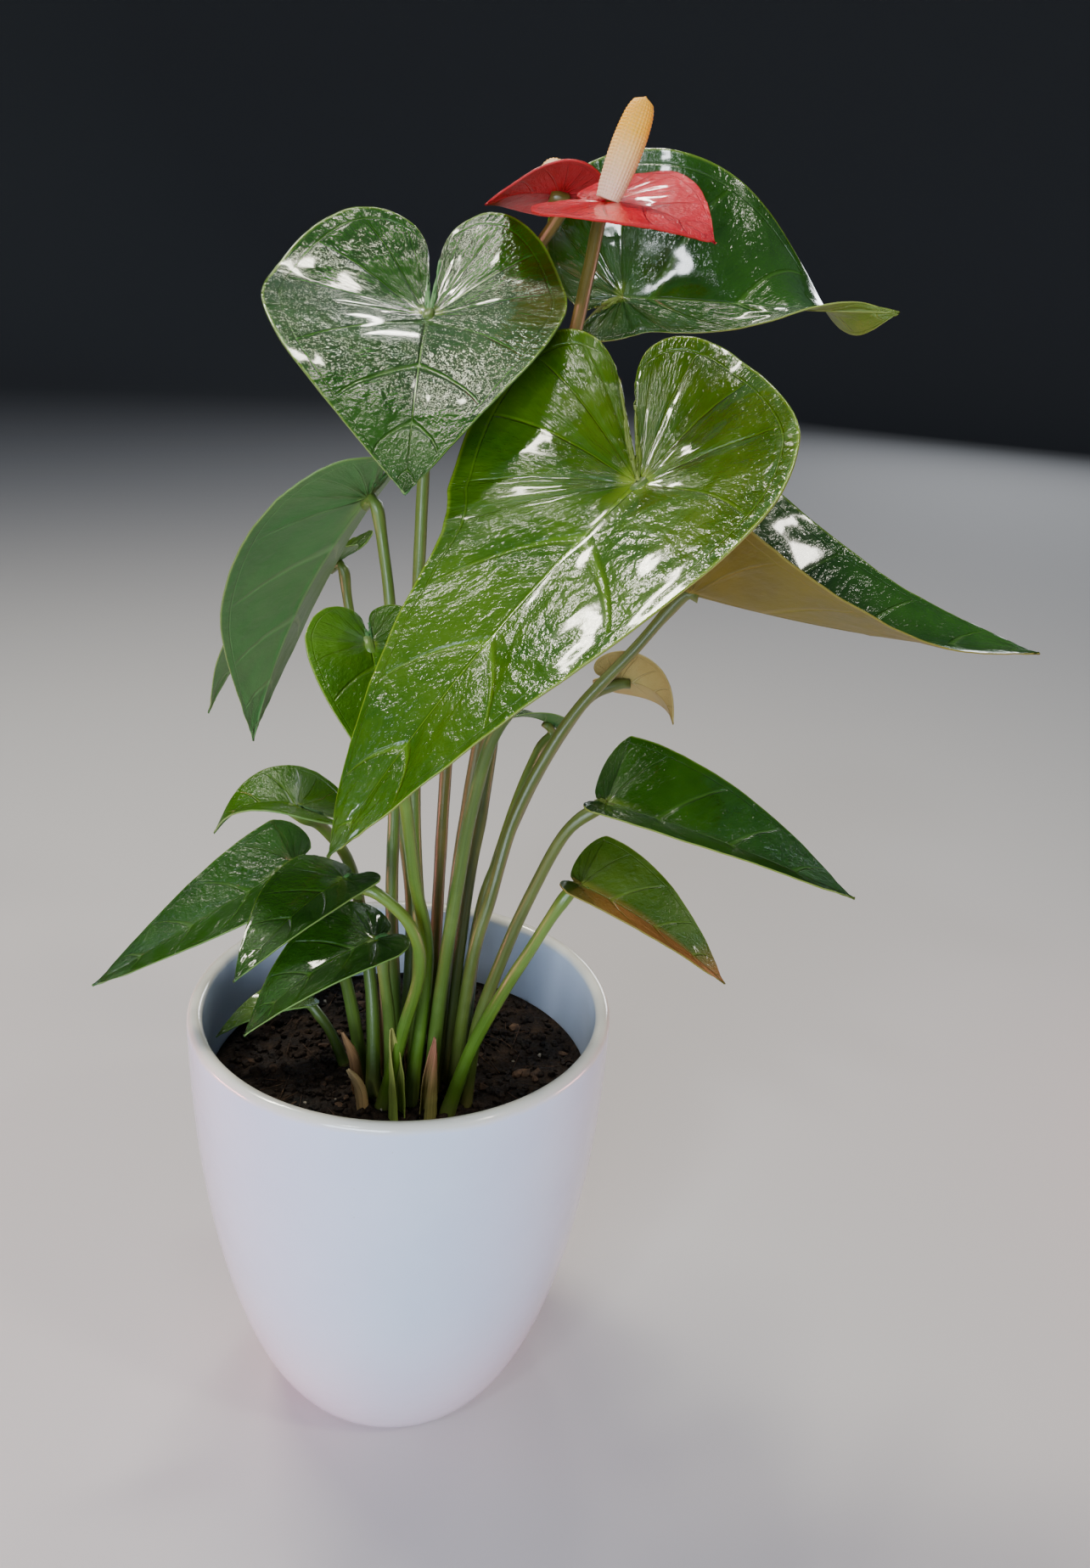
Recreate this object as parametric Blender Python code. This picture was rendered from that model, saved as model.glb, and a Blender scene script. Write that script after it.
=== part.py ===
"""Potted anthurium: a tapered glazed pot, its soil, and a plant of separate blades, petioles and flowers.

Origin at the middle of the pot's underside, +Z up, -Y towards the side the plant is shown from.
Lengths in the tables are millimetres, and heights in them are measured from the soil's surface.
"""

import math

import bmesh
import bpy
from mathutils import Matrix, Vector

MM = 0.001

# Pot
RIM_DIAMETER = 140 * MM
BASE_DIAMETER = 73 * MM
POT_HEIGHT = 154 * MM
WALL = 5 * MM
FLOOR = 7 * MM
FOOT_CHAMFER = 1.2 * MM
BELLY_POWER = 2.2
BELLY_ROUNDNESS = 1.5
POT_SEGMENTS = 40
POT_RINGS = 9

# Soil
SOIL_BELOW_RIM = 28 * MM
SOIL_CROWN = 1.5 * MM
CLEARANCE = 0.3 * MM

# Plant
BLADE_THICKNESS = 1.0 * MM
SPATHE_THICKNESS = 1.0 * MM
PETIOLE_BASE_RADIUS = 2.2 * MM
PETIOLE_TOP_RADIUS = 1.7 * MM
PEDUNCLE_RADIUS = 1.7 * MM
SPADIX_LENGTH = 21 * MM
SPADIX_RADIUS = 4.1 * MM
CROWN_HEIGHT = 22 * MM
CROWN_RADIUS = 4.5 * MM
CROWN_PLACE = (5, -2)
BLADE_SIDE_COLUMNS = 3
BLADE_ROWS = 12
WELD = 0.05 * MM
STEM_STEP = 22 * MM
INNER_LEAF_WALL_GAP = 3 * MM

# Half of a heart-shaped blade, from the petiole's joint round the lobe to the tip.
# Across is a share of the half width; along is a share of the lobe when negative, else of the length.
BLADE_OUTLINE = (
    (0.0, 0.0), (0.035, -0.24), (0.035, -0.50), (0.06, -0.74), (0.16, -0.92), (0.36, -1.0),
    (0.60, -0.90), (0.82, -0.60), (0.96, -0.20), (1.0, 0.06), (0.955, 0.22), (0.80, 0.42),
    (0.58, 0.60), (0.36, 0.76), (0.17, 0.89), (0.06, 0.96), (0.0, 1.0),
)
VEIN_SLANT = 0.55

# Each blade: joint and tip, full width, lobe length, then how it is held and bent (angles in degrees).
# A cut names how its facets are halved into triangles.
BLADES = {
    "front": dict(joint=(54, -60, 210), tip=(-17, -115, 135), width=94, lobe=47, roll=-8, arch=5,
                  fold=0.20, lift=10, turn=-42, slim=0.12, right=0.84, left_lobe=1.20),
    "tall_left": dict(joint=(3, 0, 243), tip=(-2, -60, 205), width=87, lobe=37, roll=1, arch=5,
                      fold=0.20, lift=28, right=0.87),
    "tall_right": dict(joint=(60, 28, 250), tip=(134, 0, 251), width=84, lobe=15, roll=68,
                       fold=0.14, turn=-34, twist=-185, left=0.30, right=0.95, slim=0.0),
    "rear_left": dict(joint=(-14, 20, 190), tip=(-56, 70, 92), width=66, lobe=20, roll=-15, arch=6,
                      fold=0.30, left=0.85, slim=-0.15),
    "hidden_left": dict(joint=(-27, 80, 156), tip=(-76, 98, 92), width=46, lobe=14, roll=0, arch=6,
                        fold=0.25),
    "young_left": dict(joint=(-10, -55, 166), tip=(-3, -85, 136), width=34, lobe=12, arch=2, fold=0.20),
    "wide_right": dict(joint=(82, -5, 171), tip=(186, -20, 160), width=78, lobe=22, roll=12, arch=-3,
                       fold=1.0, tip_fold=-0.7, slim=0.14),
    "low_right": dict(joint=(58, -30, 113), tip=(126, -60, 98), width=46, lobe=5, roll=15, arch=2,
                      fold=0.50, left=0.6),
    "lowest_right": dict(joint=(51, -40, 91), tip=(92, -60, 70), width=34, lobe=5, roll=15, arch=3,
                         fold=0.50, left=0.6),
    "curled_right": dict(joint=(67, 14, 137), tip=(82, -2, 128), width=22, lobe=9, roll=-64, arch=5,
                         fold=0.30),
    "rear_small": dict(joint=(49, 40, 112), tip=(32, 30, 117), width=16, lobe=4, roll=13, arch=2, fold=0.30),
    "small_left": dict(joint=(-31, -30, 110), tip=(-55, -30, 101), width=36, lobe=14, arch=5, fold=0.30,
                       turn=10),
    "low_left": dict(joint=(-35, 0, 77), tip=(-95, -20, 44), width=36, lobe=8, roll=-15, fold=0.30,
                     cut="FIXED"),
    "rim_bright": dict(joint=(-18, -30, 87), tip=(-45, -70, 76), width=34, lobe=7, roll=2, arch=3,
                       fold=0.20, right=0.75),
    "rim_dark": dict(joint=(-9, -20, 61), tip=(-47, -40, 39), width=42, lobe=8, arch=4, fold=0.20,
                     right=0.80),
    "pot_inner": dict(joint=(-33, 8, 22), tip=(-61, 0, 12), width=20, lobe=4, arch=3, fold=0.30),
}

# Each petiole: the points that it passes on its way from the soil up to its blade.
PETIOLES = {
    "front": ((9, -20, 0), (12, -20, 42), (16, -24, 83), (19, -30, 111), (24, -36, 136), (34, -42, 154),
              (46, -50, 183)),
    "tall_left": ((4, -12, 0), (5, -10, 52), (3, -4, 84), (2, 0, 114), (2, 4, 165), (3, 6, 209)),
    "tall_right": ((14, -7, 0), (20, 2, 65), (24, 6, 93), (27, 10, 121), (31, 17, 163), (38, 27, 213),
                   (49, 34, 238)),
    "rear_left": ((-1, -7, 0), (-4, -3, 60), (-4, 1, 97), (-5, 5, 124), (-6, 11, 155), (-9, 17, 177)),
    "hidden_left": ((1, 6, 0), (2, 32, 50), (-9, 58, 96), (-21, 76, 136)),
    "young_left": ((3, -20, 0), (7, -17, 40), (7, -20, 61), (3, -28, 85), (-1, -37, 118), (-6, -45, 141)),
    "wide_right": ((17, -14, 0), (22, -14, 50), (27, -12, 72), (33, -8, 96), (42, -6, 117), (52, -5, 134),
                   (67, -4, 152)),
    "low_right": ((21, -20, 0), (24, -22, 30), (31, -24, 58), (38, -26, 80), (47, -28, 102)),
    "lowest_right": ((15, -25, 0), (22, -27, 25), (31, -32, 50), (38, -36, 67), (45, -39, 83)),
    "curled_right": ((20, -6, 0), (24, 0, 54), (31, 4, 80), (42, 8, 107), (56, 12, 130)),
    "rear_small": ((16, 3, 0), (26, 12, 54), (36, 26, 86), (44, 36, 103)),
    "small_left": ((-9, -15, 0), (-10, -5, 30), (-14, 2, 58), (-18, -4, 80), (-25, -18, 98)),
    "low_left": ((-12, -7, 0), (-19, -4, 38), (-28, -1, 62)),
    "rim_bright": ((-6, -22, 0), (0, -26, 30), (5, -29, 55), (2, -32, 72), (-8, -32, 83)),
    "rim_dark": ((-3, -16, 0), (-4, -19, 30), (-6, -20, 48)),
    "pot_inner": ((-19, 2, 0), (-24, 5, 10), (-29, 7, 17)),
}

# Flowers: the spathe is a small blade, and the spadix stands on it.
SPATHES = {
    "front": dict(joint=(46, -26, 273), tip=(70, -45, 265), width=50, lobe=13, roll=16, arch=2, fold=0.10),
    "rear": dict(joint=(39, 22, 276), tip=(18, 14, 272), width=34, lobe=10, roll=22, arch=2, fold=0.10),
}
SPADIX_LEANS = {"front": (8, 2, 24), "rear": (2, 22, 2)}
PEDUNCLES = {
    "front": ((11, -14, 0), (14, -11, 50), (17, -8, 86), (22, -5, 126), (31, -4, 192), (41, -7, 234),
              (44, -16, 257)),
    "rear": ((10, 6, 0), (11, 8, 60), (13, 14, 121), (17, 24, 177), (23, 36, 225), (31, 38, 254)),
}

# Sheaths that wrapped young leaves, still standing round the crown: foot, top, the room that a sheath
# and a petiole's foot take up side by side (the sum of their radii), colour.
SHEATHS = {
    "green": ((-1, -27, 0), (-3, -29, 34), 4.6, (0.25, 0.36, 0.06)),
    "pink": ((9, -27, 0), (10, -28, 30), 4.4, (0.36, 0.16, 0.08)),
    "brown_left": ((-14, -14, 0), (-19, -18, 26), 4.0, (0.20, 0.10, 0.04)),
    "brown_tall": ((-5, -4, 0), (-9, -3, 60), 3.7, (0.22, 0.12, 0.05)),
    "dry": ((-12, -23, 0), (-17, -27, 18), 3.8, (0.42, 0.28, 0.12)),
}

GREENS = {
    "front": (0.06, 0.16, 0.02), "tall_left": (0.03, 0.11, 0.03), "tall_right": (0.03, 0.11, 0.03),
    "rear_left": (0.10, 0.20, 0.07), "young_left": (0.14, 0.30, 0.02), "wide_right": (0.04, 0.12, 0.03),
    "small_left": (0.12, 0.24, 0.06), "rim_bright": (0.07, 0.22, 0.04), "curled_right": (0.26, 0.20, 0.08),
}
LEAF_GREEN = (0.04, 0.12, 0.03)


def material(name, colour, roughness, coat=0.0):
    """A Principled material of one colour."""
    made = bpy.data.materials.new(name)
    made.use_nodes = True
    shader = made.node_tree.nodes["Principled BSDF"]
    shader.inputs["Base Color"].default_value = (*colour, 1.0)
    shader.inputs["Roughness"].default_value = roughness
    shader.inputs["Metallic"].default_value = 0.0
    shader.inputs["Coat Weight"].default_value = coat
    return made


def add_object(name, data, finish):
    """Link a mesh or curve to the scene as one named node."""
    thing = bpy.data.objects.new(name, data)
    thing.data.materials.append(finish)
    bpy.context.scene.collection.objects.link(thing)
    return thing


def mesh_object(name, bm, finish):
    """Turn a bmesh into a smooth-shaded named node."""
    mesh = bpy.data.meshes.new(name)
    bm.to_mesh(mesh)
    bm.free()
    mesh.shade_smooth()
    mesh.set_sharp_from_angle(angle=math.radians(40))
    return add_object(name, mesh, finish)


def turned(name, profile, finish, segments):
    """Spin a closed profile of (radius, height) points round the Z axis."""
    bm = bmesh.new()
    corners = [bm.verts.new((radius, 0.0, height)) for radius, height in profile]
    edges = [bm.edges.new(pair) for pair in zip(corners, corners[1:])]
    bmesh.ops.spin(bm, geom=corners + edges, cent=(0, 0, 0), axis=(0, 0, 1), angle=2 * math.pi,
                   steps=segments, use_merge=True)
    bmesh.ops.remove_doubles(bm, verts=bm.verts, dist=1e-6)
    bmesh.ops.recalc_face_normals(bm, faces=bm.faces)
    return mesh_object(name, bm, finish)


def pot_radius(height):
    """Outer radius of the pot: nearly straight at the rim, rounding in towards the foot."""
    depth = 1.0 - height / POT_HEIGHT
    swell = (1.0 - depth ** BELLY_POWER) ** (1.0 / BELLY_ROUNDNESS)
    return (BASE_DIAMETER + (RIM_DIAMETER - BASE_DIAMETER) * swell) / 2


def inner_radius(height):
    """Inner radius of the pot at a height above its underside."""
    return pot_radius(height) - WALL


def heights_between(low, high, count):
    """Heights packed closer near the low end, where the pot curves most."""
    return [low + (high - low) * (step / count) ** 1.6 for step in range(count + 1)]


def build_pot():
    """The glazed pot, one shell with a rounded lip and a full flat foot."""
    lip_centre = POT_HEIGHT - WALL / 2
    profile = [(0.0, 0.0), (BASE_DIAMETER / 2 - FOOT_CHAMFER, 0.0)]
    profile += [(pot_radius(z), z) for z in heights_between(FOOT_CHAMFER, lip_centre, POT_RINGS)]
    for step in range(1, 6):
        turn = math.pi * step / 6
        middle = pot_radius(lip_centre) - WALL / 2
        profile.append((middle + math.cos(turn) * WALL / 2, lip_centre + math.sin(turn) * WALL / 2))
    inner = heights_between(FLOOR, lip_centre, POT_RINGS)
    profile += [(inner_radius(z), z) for z in reversed(inner)]
    profile.append((0.0, FLOOR))
    glaze = material("pot_glaze", (0.80, 0.80, 0.84), 0.18, coat=0.5)
    return turned("pot", profile, glaze, POT_SEGMENTS)


def soil_top():
    """Height of the soil's surface above the pot's underside."""
    return POT_HEIGHT - SOIL_BELOW_RIM


def build_soil():
    """The soil that fills the pot, clear of its wall and floor."""
    low = FLOOR + CLEARANCE
    edge_height = soil_top() - SOIL_CROWN
    profile = [(0.0, low)]
    profile += [(inner_radius(z) - CLEARANCE, z) for z in heights_between(low, edge_height, POT_RINGS - 1)]
    profile.append((inner_radius(edge_height) * 0.8, soil_top()))
    profile.append((0.0, soil_top()))
    loam = material("soil_loam", (0.020, 0.013, 0.009), 0.95)
    return turned("soil", profile, loam, POT_SEGMENTS)


def smooth_at(points, position):
    """Catmull-Rom point on a list of vectors; position runs from 0 to len(points) - 1."""
    index = min(int(position), len(points) - 2)
    part = position - index
    before = points[max(index - 1, 0)]
    start, end = points[index], points[index + 1]
    after = points[min(index + 2, len(points) - 1)]
    return 0.5 * (2 * start + (end - before) * part
                  + (2 * before - 5 * start + 4 * end - after) * part ** 2
                  + (3 * start - before - 3 * end + after) * part ** 3)


def placed(point):
    """A table point, in millimetres above the soil, as a vector in metres above the pot's underside."""
    return Vector((point[0] * MM, point[1] * MM, soil_top() + point[2] * MM))


class Blade:
    """The curved surface of one leaf blade or spathe."""

    def __init__(self, joint, tip, width, lobe, roll=0, arch=0, fold=0.0, tip_fold=0.0, lift=0, turn=0,
                 twist=0, slim=0.0, left=1.0, right=1.0, left_lobe=1.0, cut="BEAUTY"):
        self.joint = placed(joint)
        chord = placed(tip) - self.joint
        self.length = chord.length
        self.along = chord.normalized()
        upright = (Vector((0, 0, 1)) - self.along * self.along.z).normalized()
        self.normal = Matrix.Rotation(math.radians(roll), 3, self.along) @ upright
        self.half = width * MM / 2
        self.lobe = lobe * MM
        self.bow = self.normal * arch * MM
        self.fold, self.tip_fold = fold, tip_fold
        self.lift = math.tan(math.radians(lift))
        self.turn, self.twist = math.radians(turn), math.radians(twist)
        self.slim, self.left, self.right = slim, left, right
        self.left_lobe = self.lobe * left_lobe
        self.cut = cut

    def flat(self, side, share, run):
        """Across and along of a point: side is -1 or 1, share 0 midrib to 1 margin, run 0 joint to 1 tip."""
        outline = [Vector((across, along, 0)) for across, along in BLADE_OUTLINE]
        edge = smooth_at(outline, run * (len(outline) - 1))
        slimmer = 1.0 - self.slim * math.sin(math.pi * min(max(edge.y, 0.0), 1.0))
        across = max(edge.x, 0.0) * self.half * slimmer
        lobe = self.left_lobe if side > 0 else self.lobe
        along = edge.y * (lobe if edge.y < 0 else self.length)
        root = self.length if run > 0.999 else max(along - VEIN_SLANT * across, 0.0)
        across *= share * (self.left if side > 0 else self.right)
        return side * across, root + (along - root) * share

    def turned_base(self, across, along):
        """Swing the lobes about the joint, for a blade whose base leans to one side."""
        share = min(math.atan2(abs(across), along) / math.radians(120), 1.0)
        angle = self.turn * share ** 2 * (3 - 2 * share)
        return (across * math.cos(angle) + along * math.sin(angle),
                along * math.cos(angle) - across * math.sin(angle))

    def frame(self, along):
        """Point on the midrib, with its direction, face normal and sideways direction."""
        run = min(max(along / self.length, 0.0), 1.0)
        point = self.joint + self.along * self.length * run + 4 * run * (1 - run) * self.bow
        ahead = (self.along * self.length + 4 * (1 - 2 * run) * self.bow).normalized()
        point += ahead * min(along, 0.0)
        normal = (self.normal - ahead * ahead.dot(self.normal)).normalized()
        normal = Matrix.Rotation(self.twist * run ** 3, 3, ahead) @ normal
        return point, ahead, normal, ahead.cross(normal)

    def surface(self, side, share, run):
        """Point of the blade's middle surface."""
        across, along = self.turned_base(*self.flat(side, share, run))
        point, _, normal, sideways = self.frame(along)
        fold = self.fold + self.tip_fold * min(max(along / self.length, 0.0), 1.0)
        reach = across / self.half
        height = self.half * fold * (math.sqrt(reach ** 2 + 0.01) - 0.1)
        behind = max(-along, 0.0)
        height += self.lift * behind ** 2 / (behind + 12 * MM)
        return point + normal * height + sideways * across * (1 - 0.35 * fold ** 2)


def build_blade(name, shape, thickness, finish):
    """A blade as flat facets laid on its surface and thickened both ways."""
    bm = bmesh.new()
    bmesh.ops.create_grid(bm, x_segments=2 * BLADE_SIDE_COLUMNS, y_segments=BLADE_ROWS, size=1.0)
    for corner in bm.verts:
        side = 1 if corner.co.x > 0 else -1
        corner.co = shape.surface(side, abs(corner.co.x), (corner.co.y + 1) / 2)
    bmesh.ops.remove_doubles(bm, verts=bm.verts, dist=WELD)
    bmesh.ops.triangulate(bm, faces=bm.faces, quad_method=shape.cut)
    blade = mesh_object(name, bm, finish)
    shell = blade.modifiers.new("thickness", "SOLIDIFY")
    shell.thickness = thickness
    shell.offset = 0.0
    return blade


def stem_route(table, end=None):
    """Evenly stepped points along a stem, rising straight out of the soil first."""
    knots = [placed(point) for point in table]
    knots[0].z = soil_top() + CLEARANCE
    if end is not None:
        knots.append(end)
    length = sum((b - a).length for a, b in zip(knots, knots[1:]))
    steps = max(round(length / STEM_STEP), 3)
    fine = [smooth_at(knots, (len(knots) - 1) * step / steps) for step in range(steps + 1)]
    return [fine[0], Vector((fine[0].x, fine[0].y, fine[0].z + 2.5 * MM))] + fine[1:]


def build_stem(name, points, foot_radius, top_radius, finish):
    """A round tapering stem along a list of points."""
    curve = bpy.data.curves.new(name, "CURVE")
    curve.dimensions = "3D"
    curve.bevel_depth = 1.0
    curve.bevel_resolution = 2
    curve.use_fill_caps = True
    spline = curve.splines.new("POLY")
    spline.points.add(len(points) - 1)
    for index, (knot, point) in enumerate(zip(spline.points, points)):
        knot.co = (*point, 1.0)
        share = index / (len(points) - 1)
        knot.radius = foot_radius + (top_radius - foot_radius) * share
    return add_object(name, curve, finish)


def stem_end(shape, radius, thickness):
    """Where a stem stops, just under the blade's joint."""
    _, ahead, normal, _ = shape.frame(0.0)
    return shape.joint - normal * (radius + thickness / 2 + 2 * CLEARANCE) - ahead * radius


def build_leaves():
    """Every blade with the petiole that carries it."""
    stalk = material("petiole_green", (0.16, 0.26, 0.06), 0.45)
    for place, table in BLADES.items():
        if place == "pot_inner":
            table = dict(table)
            reach = inner_radius(soil_top() + table["tip"][2] * MM) - INNER_LEAF_WALL_GAP
            table["tip"] = (-reach / MM, *table["tip"][1:])
        shape = Blade(**table)
        green = material(f"blade_{place}_green", GREENS.get(place, LEAF_GREEN), 0.30, coat=0.3)
        build_blade(f"blade_{place}", shape, BLADE_THICKNESS, green)
        end = stem_end(shape, PETIOLE_TOP_RADIUS, BLADE_THICKNESS)
        route = stem_route(PETIOLES[place], end)
        build_stem(f"petiole_{place}", route, PETIOLE_BASE_RADIUS, PETIOLE_TOP_RADIUS, stalk)


def build_spadix(name, foot, direction, finish):
    """A blunt tapering spike turned about its own leaning axis."""
    profile = [(0.0, 0.0), (0.74, 0.0), (0.86, 0.12), (0.98, 0.35), (1.0, 0.6), (0.86, 0.82), (0.55, 0.95),
               (0.0, 1.0)]
    points = [(radius * SPADIX_RADIUS, height * SPADIX_LENGTH) for radius, height in profile]
    spike = turned(name, points, finish, 14)
    lean = Vector((0, 0, 1)).rotation_difference(direction).to_matrix().to_4x4()
    spike.data.transform(Matrix.Translation(foot) @ lean)
    return spike


def build_flowers():
    """Each flower: peduncle, spathe and spadix."""
    reds = {"front": (0.55, 0.01, 0.02), "rear": (0.35, 0.01, 0.03)}
    cream = material("spadix_cream", (0.75, 0.55, 0.28), 0.5)
    olive = material("peduncle_olive", (0.20, 0.14, 0.05), 0.45)
    for place, table in SPATHES.items():
        shape = Blade(**table)
        red = material(f"spathe_{place}_red", reds[place], 0.2, coat=0.6)
        build_blade(f"spathe_{place}", shape, SPATHE_THICKNESS, red)
        end = stem_end(shape, PEDUNCLE_RADIUS, SPATHE_THICKNESS)
        build_stem(f"peduncle_{place}", stem_route(PEDUNCLES[place], end), PEDUNCLE_RADIUS * 1.2,
                   PEDUNCLE_RADIUS, olive)
        _, ahead, normal, _ = shape.frame(0.0)
        lean = Vector(SPADIX_LEANS[place]).normalized()
        slope = math.sin(lean.angle(normal)) * SPADIX_RADIUS
        foot = shape.joint + ahead * 2 * MM + normal * (SPATHE_THICKNESS / 2 + slope + 3 * CLEARANCE)
        build_spadix(f"spadix_{place}", foot, lean, cream)


def build_crown():
    """The short stem between the petioles, and the sheaths round it."""
    bark = material("crown_bark", (0.10, 0.08, 0.03), 0.8)
    foot = placed((*CROWN_PLACE, 0)) + Vector((0, 0, CLEARANCE))
    profile = [(0.0, 0.0), (1.0, 0.0), (0.92, 0.35), (0.80, 0.7), (0.5, 0.95), (0.0, 1.0)]
    crown = turned("crown", [(radius * CROWN_RADIUS, height * CROWN_HEIGHT) for radius, height in profile],
                   bark, 12)
    crown.data.transform(Matrix.Translation(foot))
    for place, (low, high, room, colour) in SHEATHS.items():
        skin = material(f"sheath_{place}_skin", colour, 0.7)
        middle = tuple((a + b) / 2 for a, b in zip(low, high))
        lean = (low[0] + (high[0] - low[0]) * 0.25, low[1] + (high[1] - low[1]) * 0.25, middle[2])
        radius = room * MM - PETIOLE_BASE_RADIUS
        build_stem(f"sheath_{place}", stem_route((low, lean, high)), radius, radius * 0.2, skin)


def main():
    for thing in list(bpy.data.objects):
        bpy.data.objects.remove(thing, do_unlink=True)
    build_pot()
    build_soil()
    build_crown()
    build_leaves()
    build_flowers()


main()
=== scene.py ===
"""Looks of a potted anthurium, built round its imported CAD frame. Metres, +Z up, -Y towards the viewer."""

import math
import random

import bmesh
import bpy
from mathutils import Matrix, Vector, noise


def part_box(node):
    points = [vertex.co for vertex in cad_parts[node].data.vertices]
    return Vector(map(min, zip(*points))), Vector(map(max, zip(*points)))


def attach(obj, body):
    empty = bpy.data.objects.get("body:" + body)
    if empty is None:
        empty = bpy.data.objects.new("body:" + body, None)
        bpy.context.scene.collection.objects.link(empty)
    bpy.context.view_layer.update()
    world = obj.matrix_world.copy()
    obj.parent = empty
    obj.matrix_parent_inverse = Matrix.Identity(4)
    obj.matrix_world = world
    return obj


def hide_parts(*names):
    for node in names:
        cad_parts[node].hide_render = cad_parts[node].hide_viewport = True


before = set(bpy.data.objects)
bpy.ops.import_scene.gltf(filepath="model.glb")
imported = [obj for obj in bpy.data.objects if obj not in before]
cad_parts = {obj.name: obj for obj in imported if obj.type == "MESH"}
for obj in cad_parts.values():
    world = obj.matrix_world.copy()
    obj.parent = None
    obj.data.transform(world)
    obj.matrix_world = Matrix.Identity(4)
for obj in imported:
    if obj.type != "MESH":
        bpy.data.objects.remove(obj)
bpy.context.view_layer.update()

MM = 0.001


# ---------------------------------------------------------------------------------------------
# The studio: a pale matt floor that sweeps up into a dark backdrop all round, soft panels of light
# inside it, and the camera that looks slightly down on the plant from the front.

FLOOR_RADIUS = 3.4
SWEEP_RADIUS = 0.9
BACKDROP_HEIGHT = 3.2
FLOOR_STEPS = 96
FADE_START, FADE_END = 0.6, 3.6
FLOOR_COLOUR = (0.60, 0.58, 0.58)
BACKDROP_COLOUR = (0.080, 0.082, 0.086)
CAMERA_PLACE = Vector((0.0, -0.3666, 0.3833))
CAMERA_YAW, CAMERA_PITCH, CAMERA_ROLL = (math.radians(angle) for angle in (6.73, 22.28, 3.80))
CAMERA_LENS = 29.0


def add_node(tree, kind, inputs=(), **settings):
    """A shader node with its settings made and its inputs set or linked."""
    made = tree.nodes.new("ShaderNode" + kind)
    for key, value in settings.items():
        setattr(made, key, value)
    for key, value in dict(inputs).items():
        if isinstance(value, bpy.types.NodeSocket):
            tree.links.new(value, made.inputs[key])
        else:
            made.inputs[key].default_value = value
    return made


def principled(name, **sockets):
    """A new material's tree and its Principled shader, with plain values on the shader's own sockets."""
    made = bpy.data.materials.new(name)
    made.use_nodes = True
    shader = made.node_tree.nodes["Principled BSDF"]
    for key, value in sockets.items():
        shader.inputs[key.replace("_", " ")].default_value = value
    return made, made.node_tree, shader


def paint(tree, shader, colour):
    """Link a colour to the shader's base colour."""
    tree.links.new(colour, shader.inputs["Base Color"])


def finished_mesh(name, bm, *finishes):
    """A bmesh made into a smooth-shaded object at the origin."""
    mesh = bpy.data.meshes.new(name)
    bm.to_mesh(mesh)
    bm.free()
    mesh.shade_smooth()
    for finish in finishes:
        mesh.materials.append(finish)
    piece = bpy.data.objects.new(name, mesh)
    bpy.context.scene.collection.objects.link(piece)
    return piece


def spun(profile, steps):
    """A bmesh of a profile of (radius, height) points spun round the Z axis."""
    bm = bmesh.new()
    corners = [bm.verts.new((radius, 0.0, height)) for radius, height in profile]
    edges = [bm.edges.new(pair) for pair in zip(corners, corners[1:])]
    bmesh.ops.spin(bm, geom=corners + edges, cent=(0, 0, 0), axis=(0, 0, 1), angle=2 * math.pi,
                   steps=steps, use_merge=True)
    bmesh.ops.remove_doubles(bm, verts=bm.verts, dist=1e-6)
    bmesh.ops.recalc_face_normals(bm, faces=bm.faces)
    return bm


sweep = [(0.0, 0.0), (FLOOR_RADIUS, 0.0)]
for step in range(1, 13):
    turn = math.pi / 2 * step / 12
    sweep.append((FLOOR_RADIUS + SWEEP_RADIUS * math.sin(turn), SWEEP_RADIUS * (1 - math.cos(turn))))
sweep.append((FLOOR_RADIUS + SWEEP_RADIUS, BACKDROP_HEIGHT))
floor_finish, tree, shader = principled("floor_matt", Roughness=0.85)
away = add_node(tree, "VectorMath", {0: add_node(tree, "TexCoord").outputs["Object"]}, operation="LENGTH")
dimming = add_node(tree, "MapRange", {"Value": away.outputs["Value"], "From Min": FADE_START,
                                     "From Max": FADE_END}, interpolation_type="SMOOTHSTEP").outputs["Result"]
fading = add_node(tree, "ValToRGB", {"Fac": dimming})
fading.color_ramp.elements[0].color = (*FLOOR_COLOUR, 1.0)
fading.color_ramp.elements[1].color = (*BACKDROP_COLOUR, 1.0)
paint(tree, shader, fading.outputs["Color"])
floor = finished_mesh("studio_floor", spun(sweep, FLOOR_STEPS), floor_finish)

world = bpy.data.worlds.new("studio_air")
world.use_nodes = True
world.node_tree.nodes["Background"].inputs["Color"].default_value = (0.72, 0.82, 1.0, 1.0)
world.node_tree.nodes["Background"].inputs["Strength"].default_value = 0.20
bpy.context.scene.world = world

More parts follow.
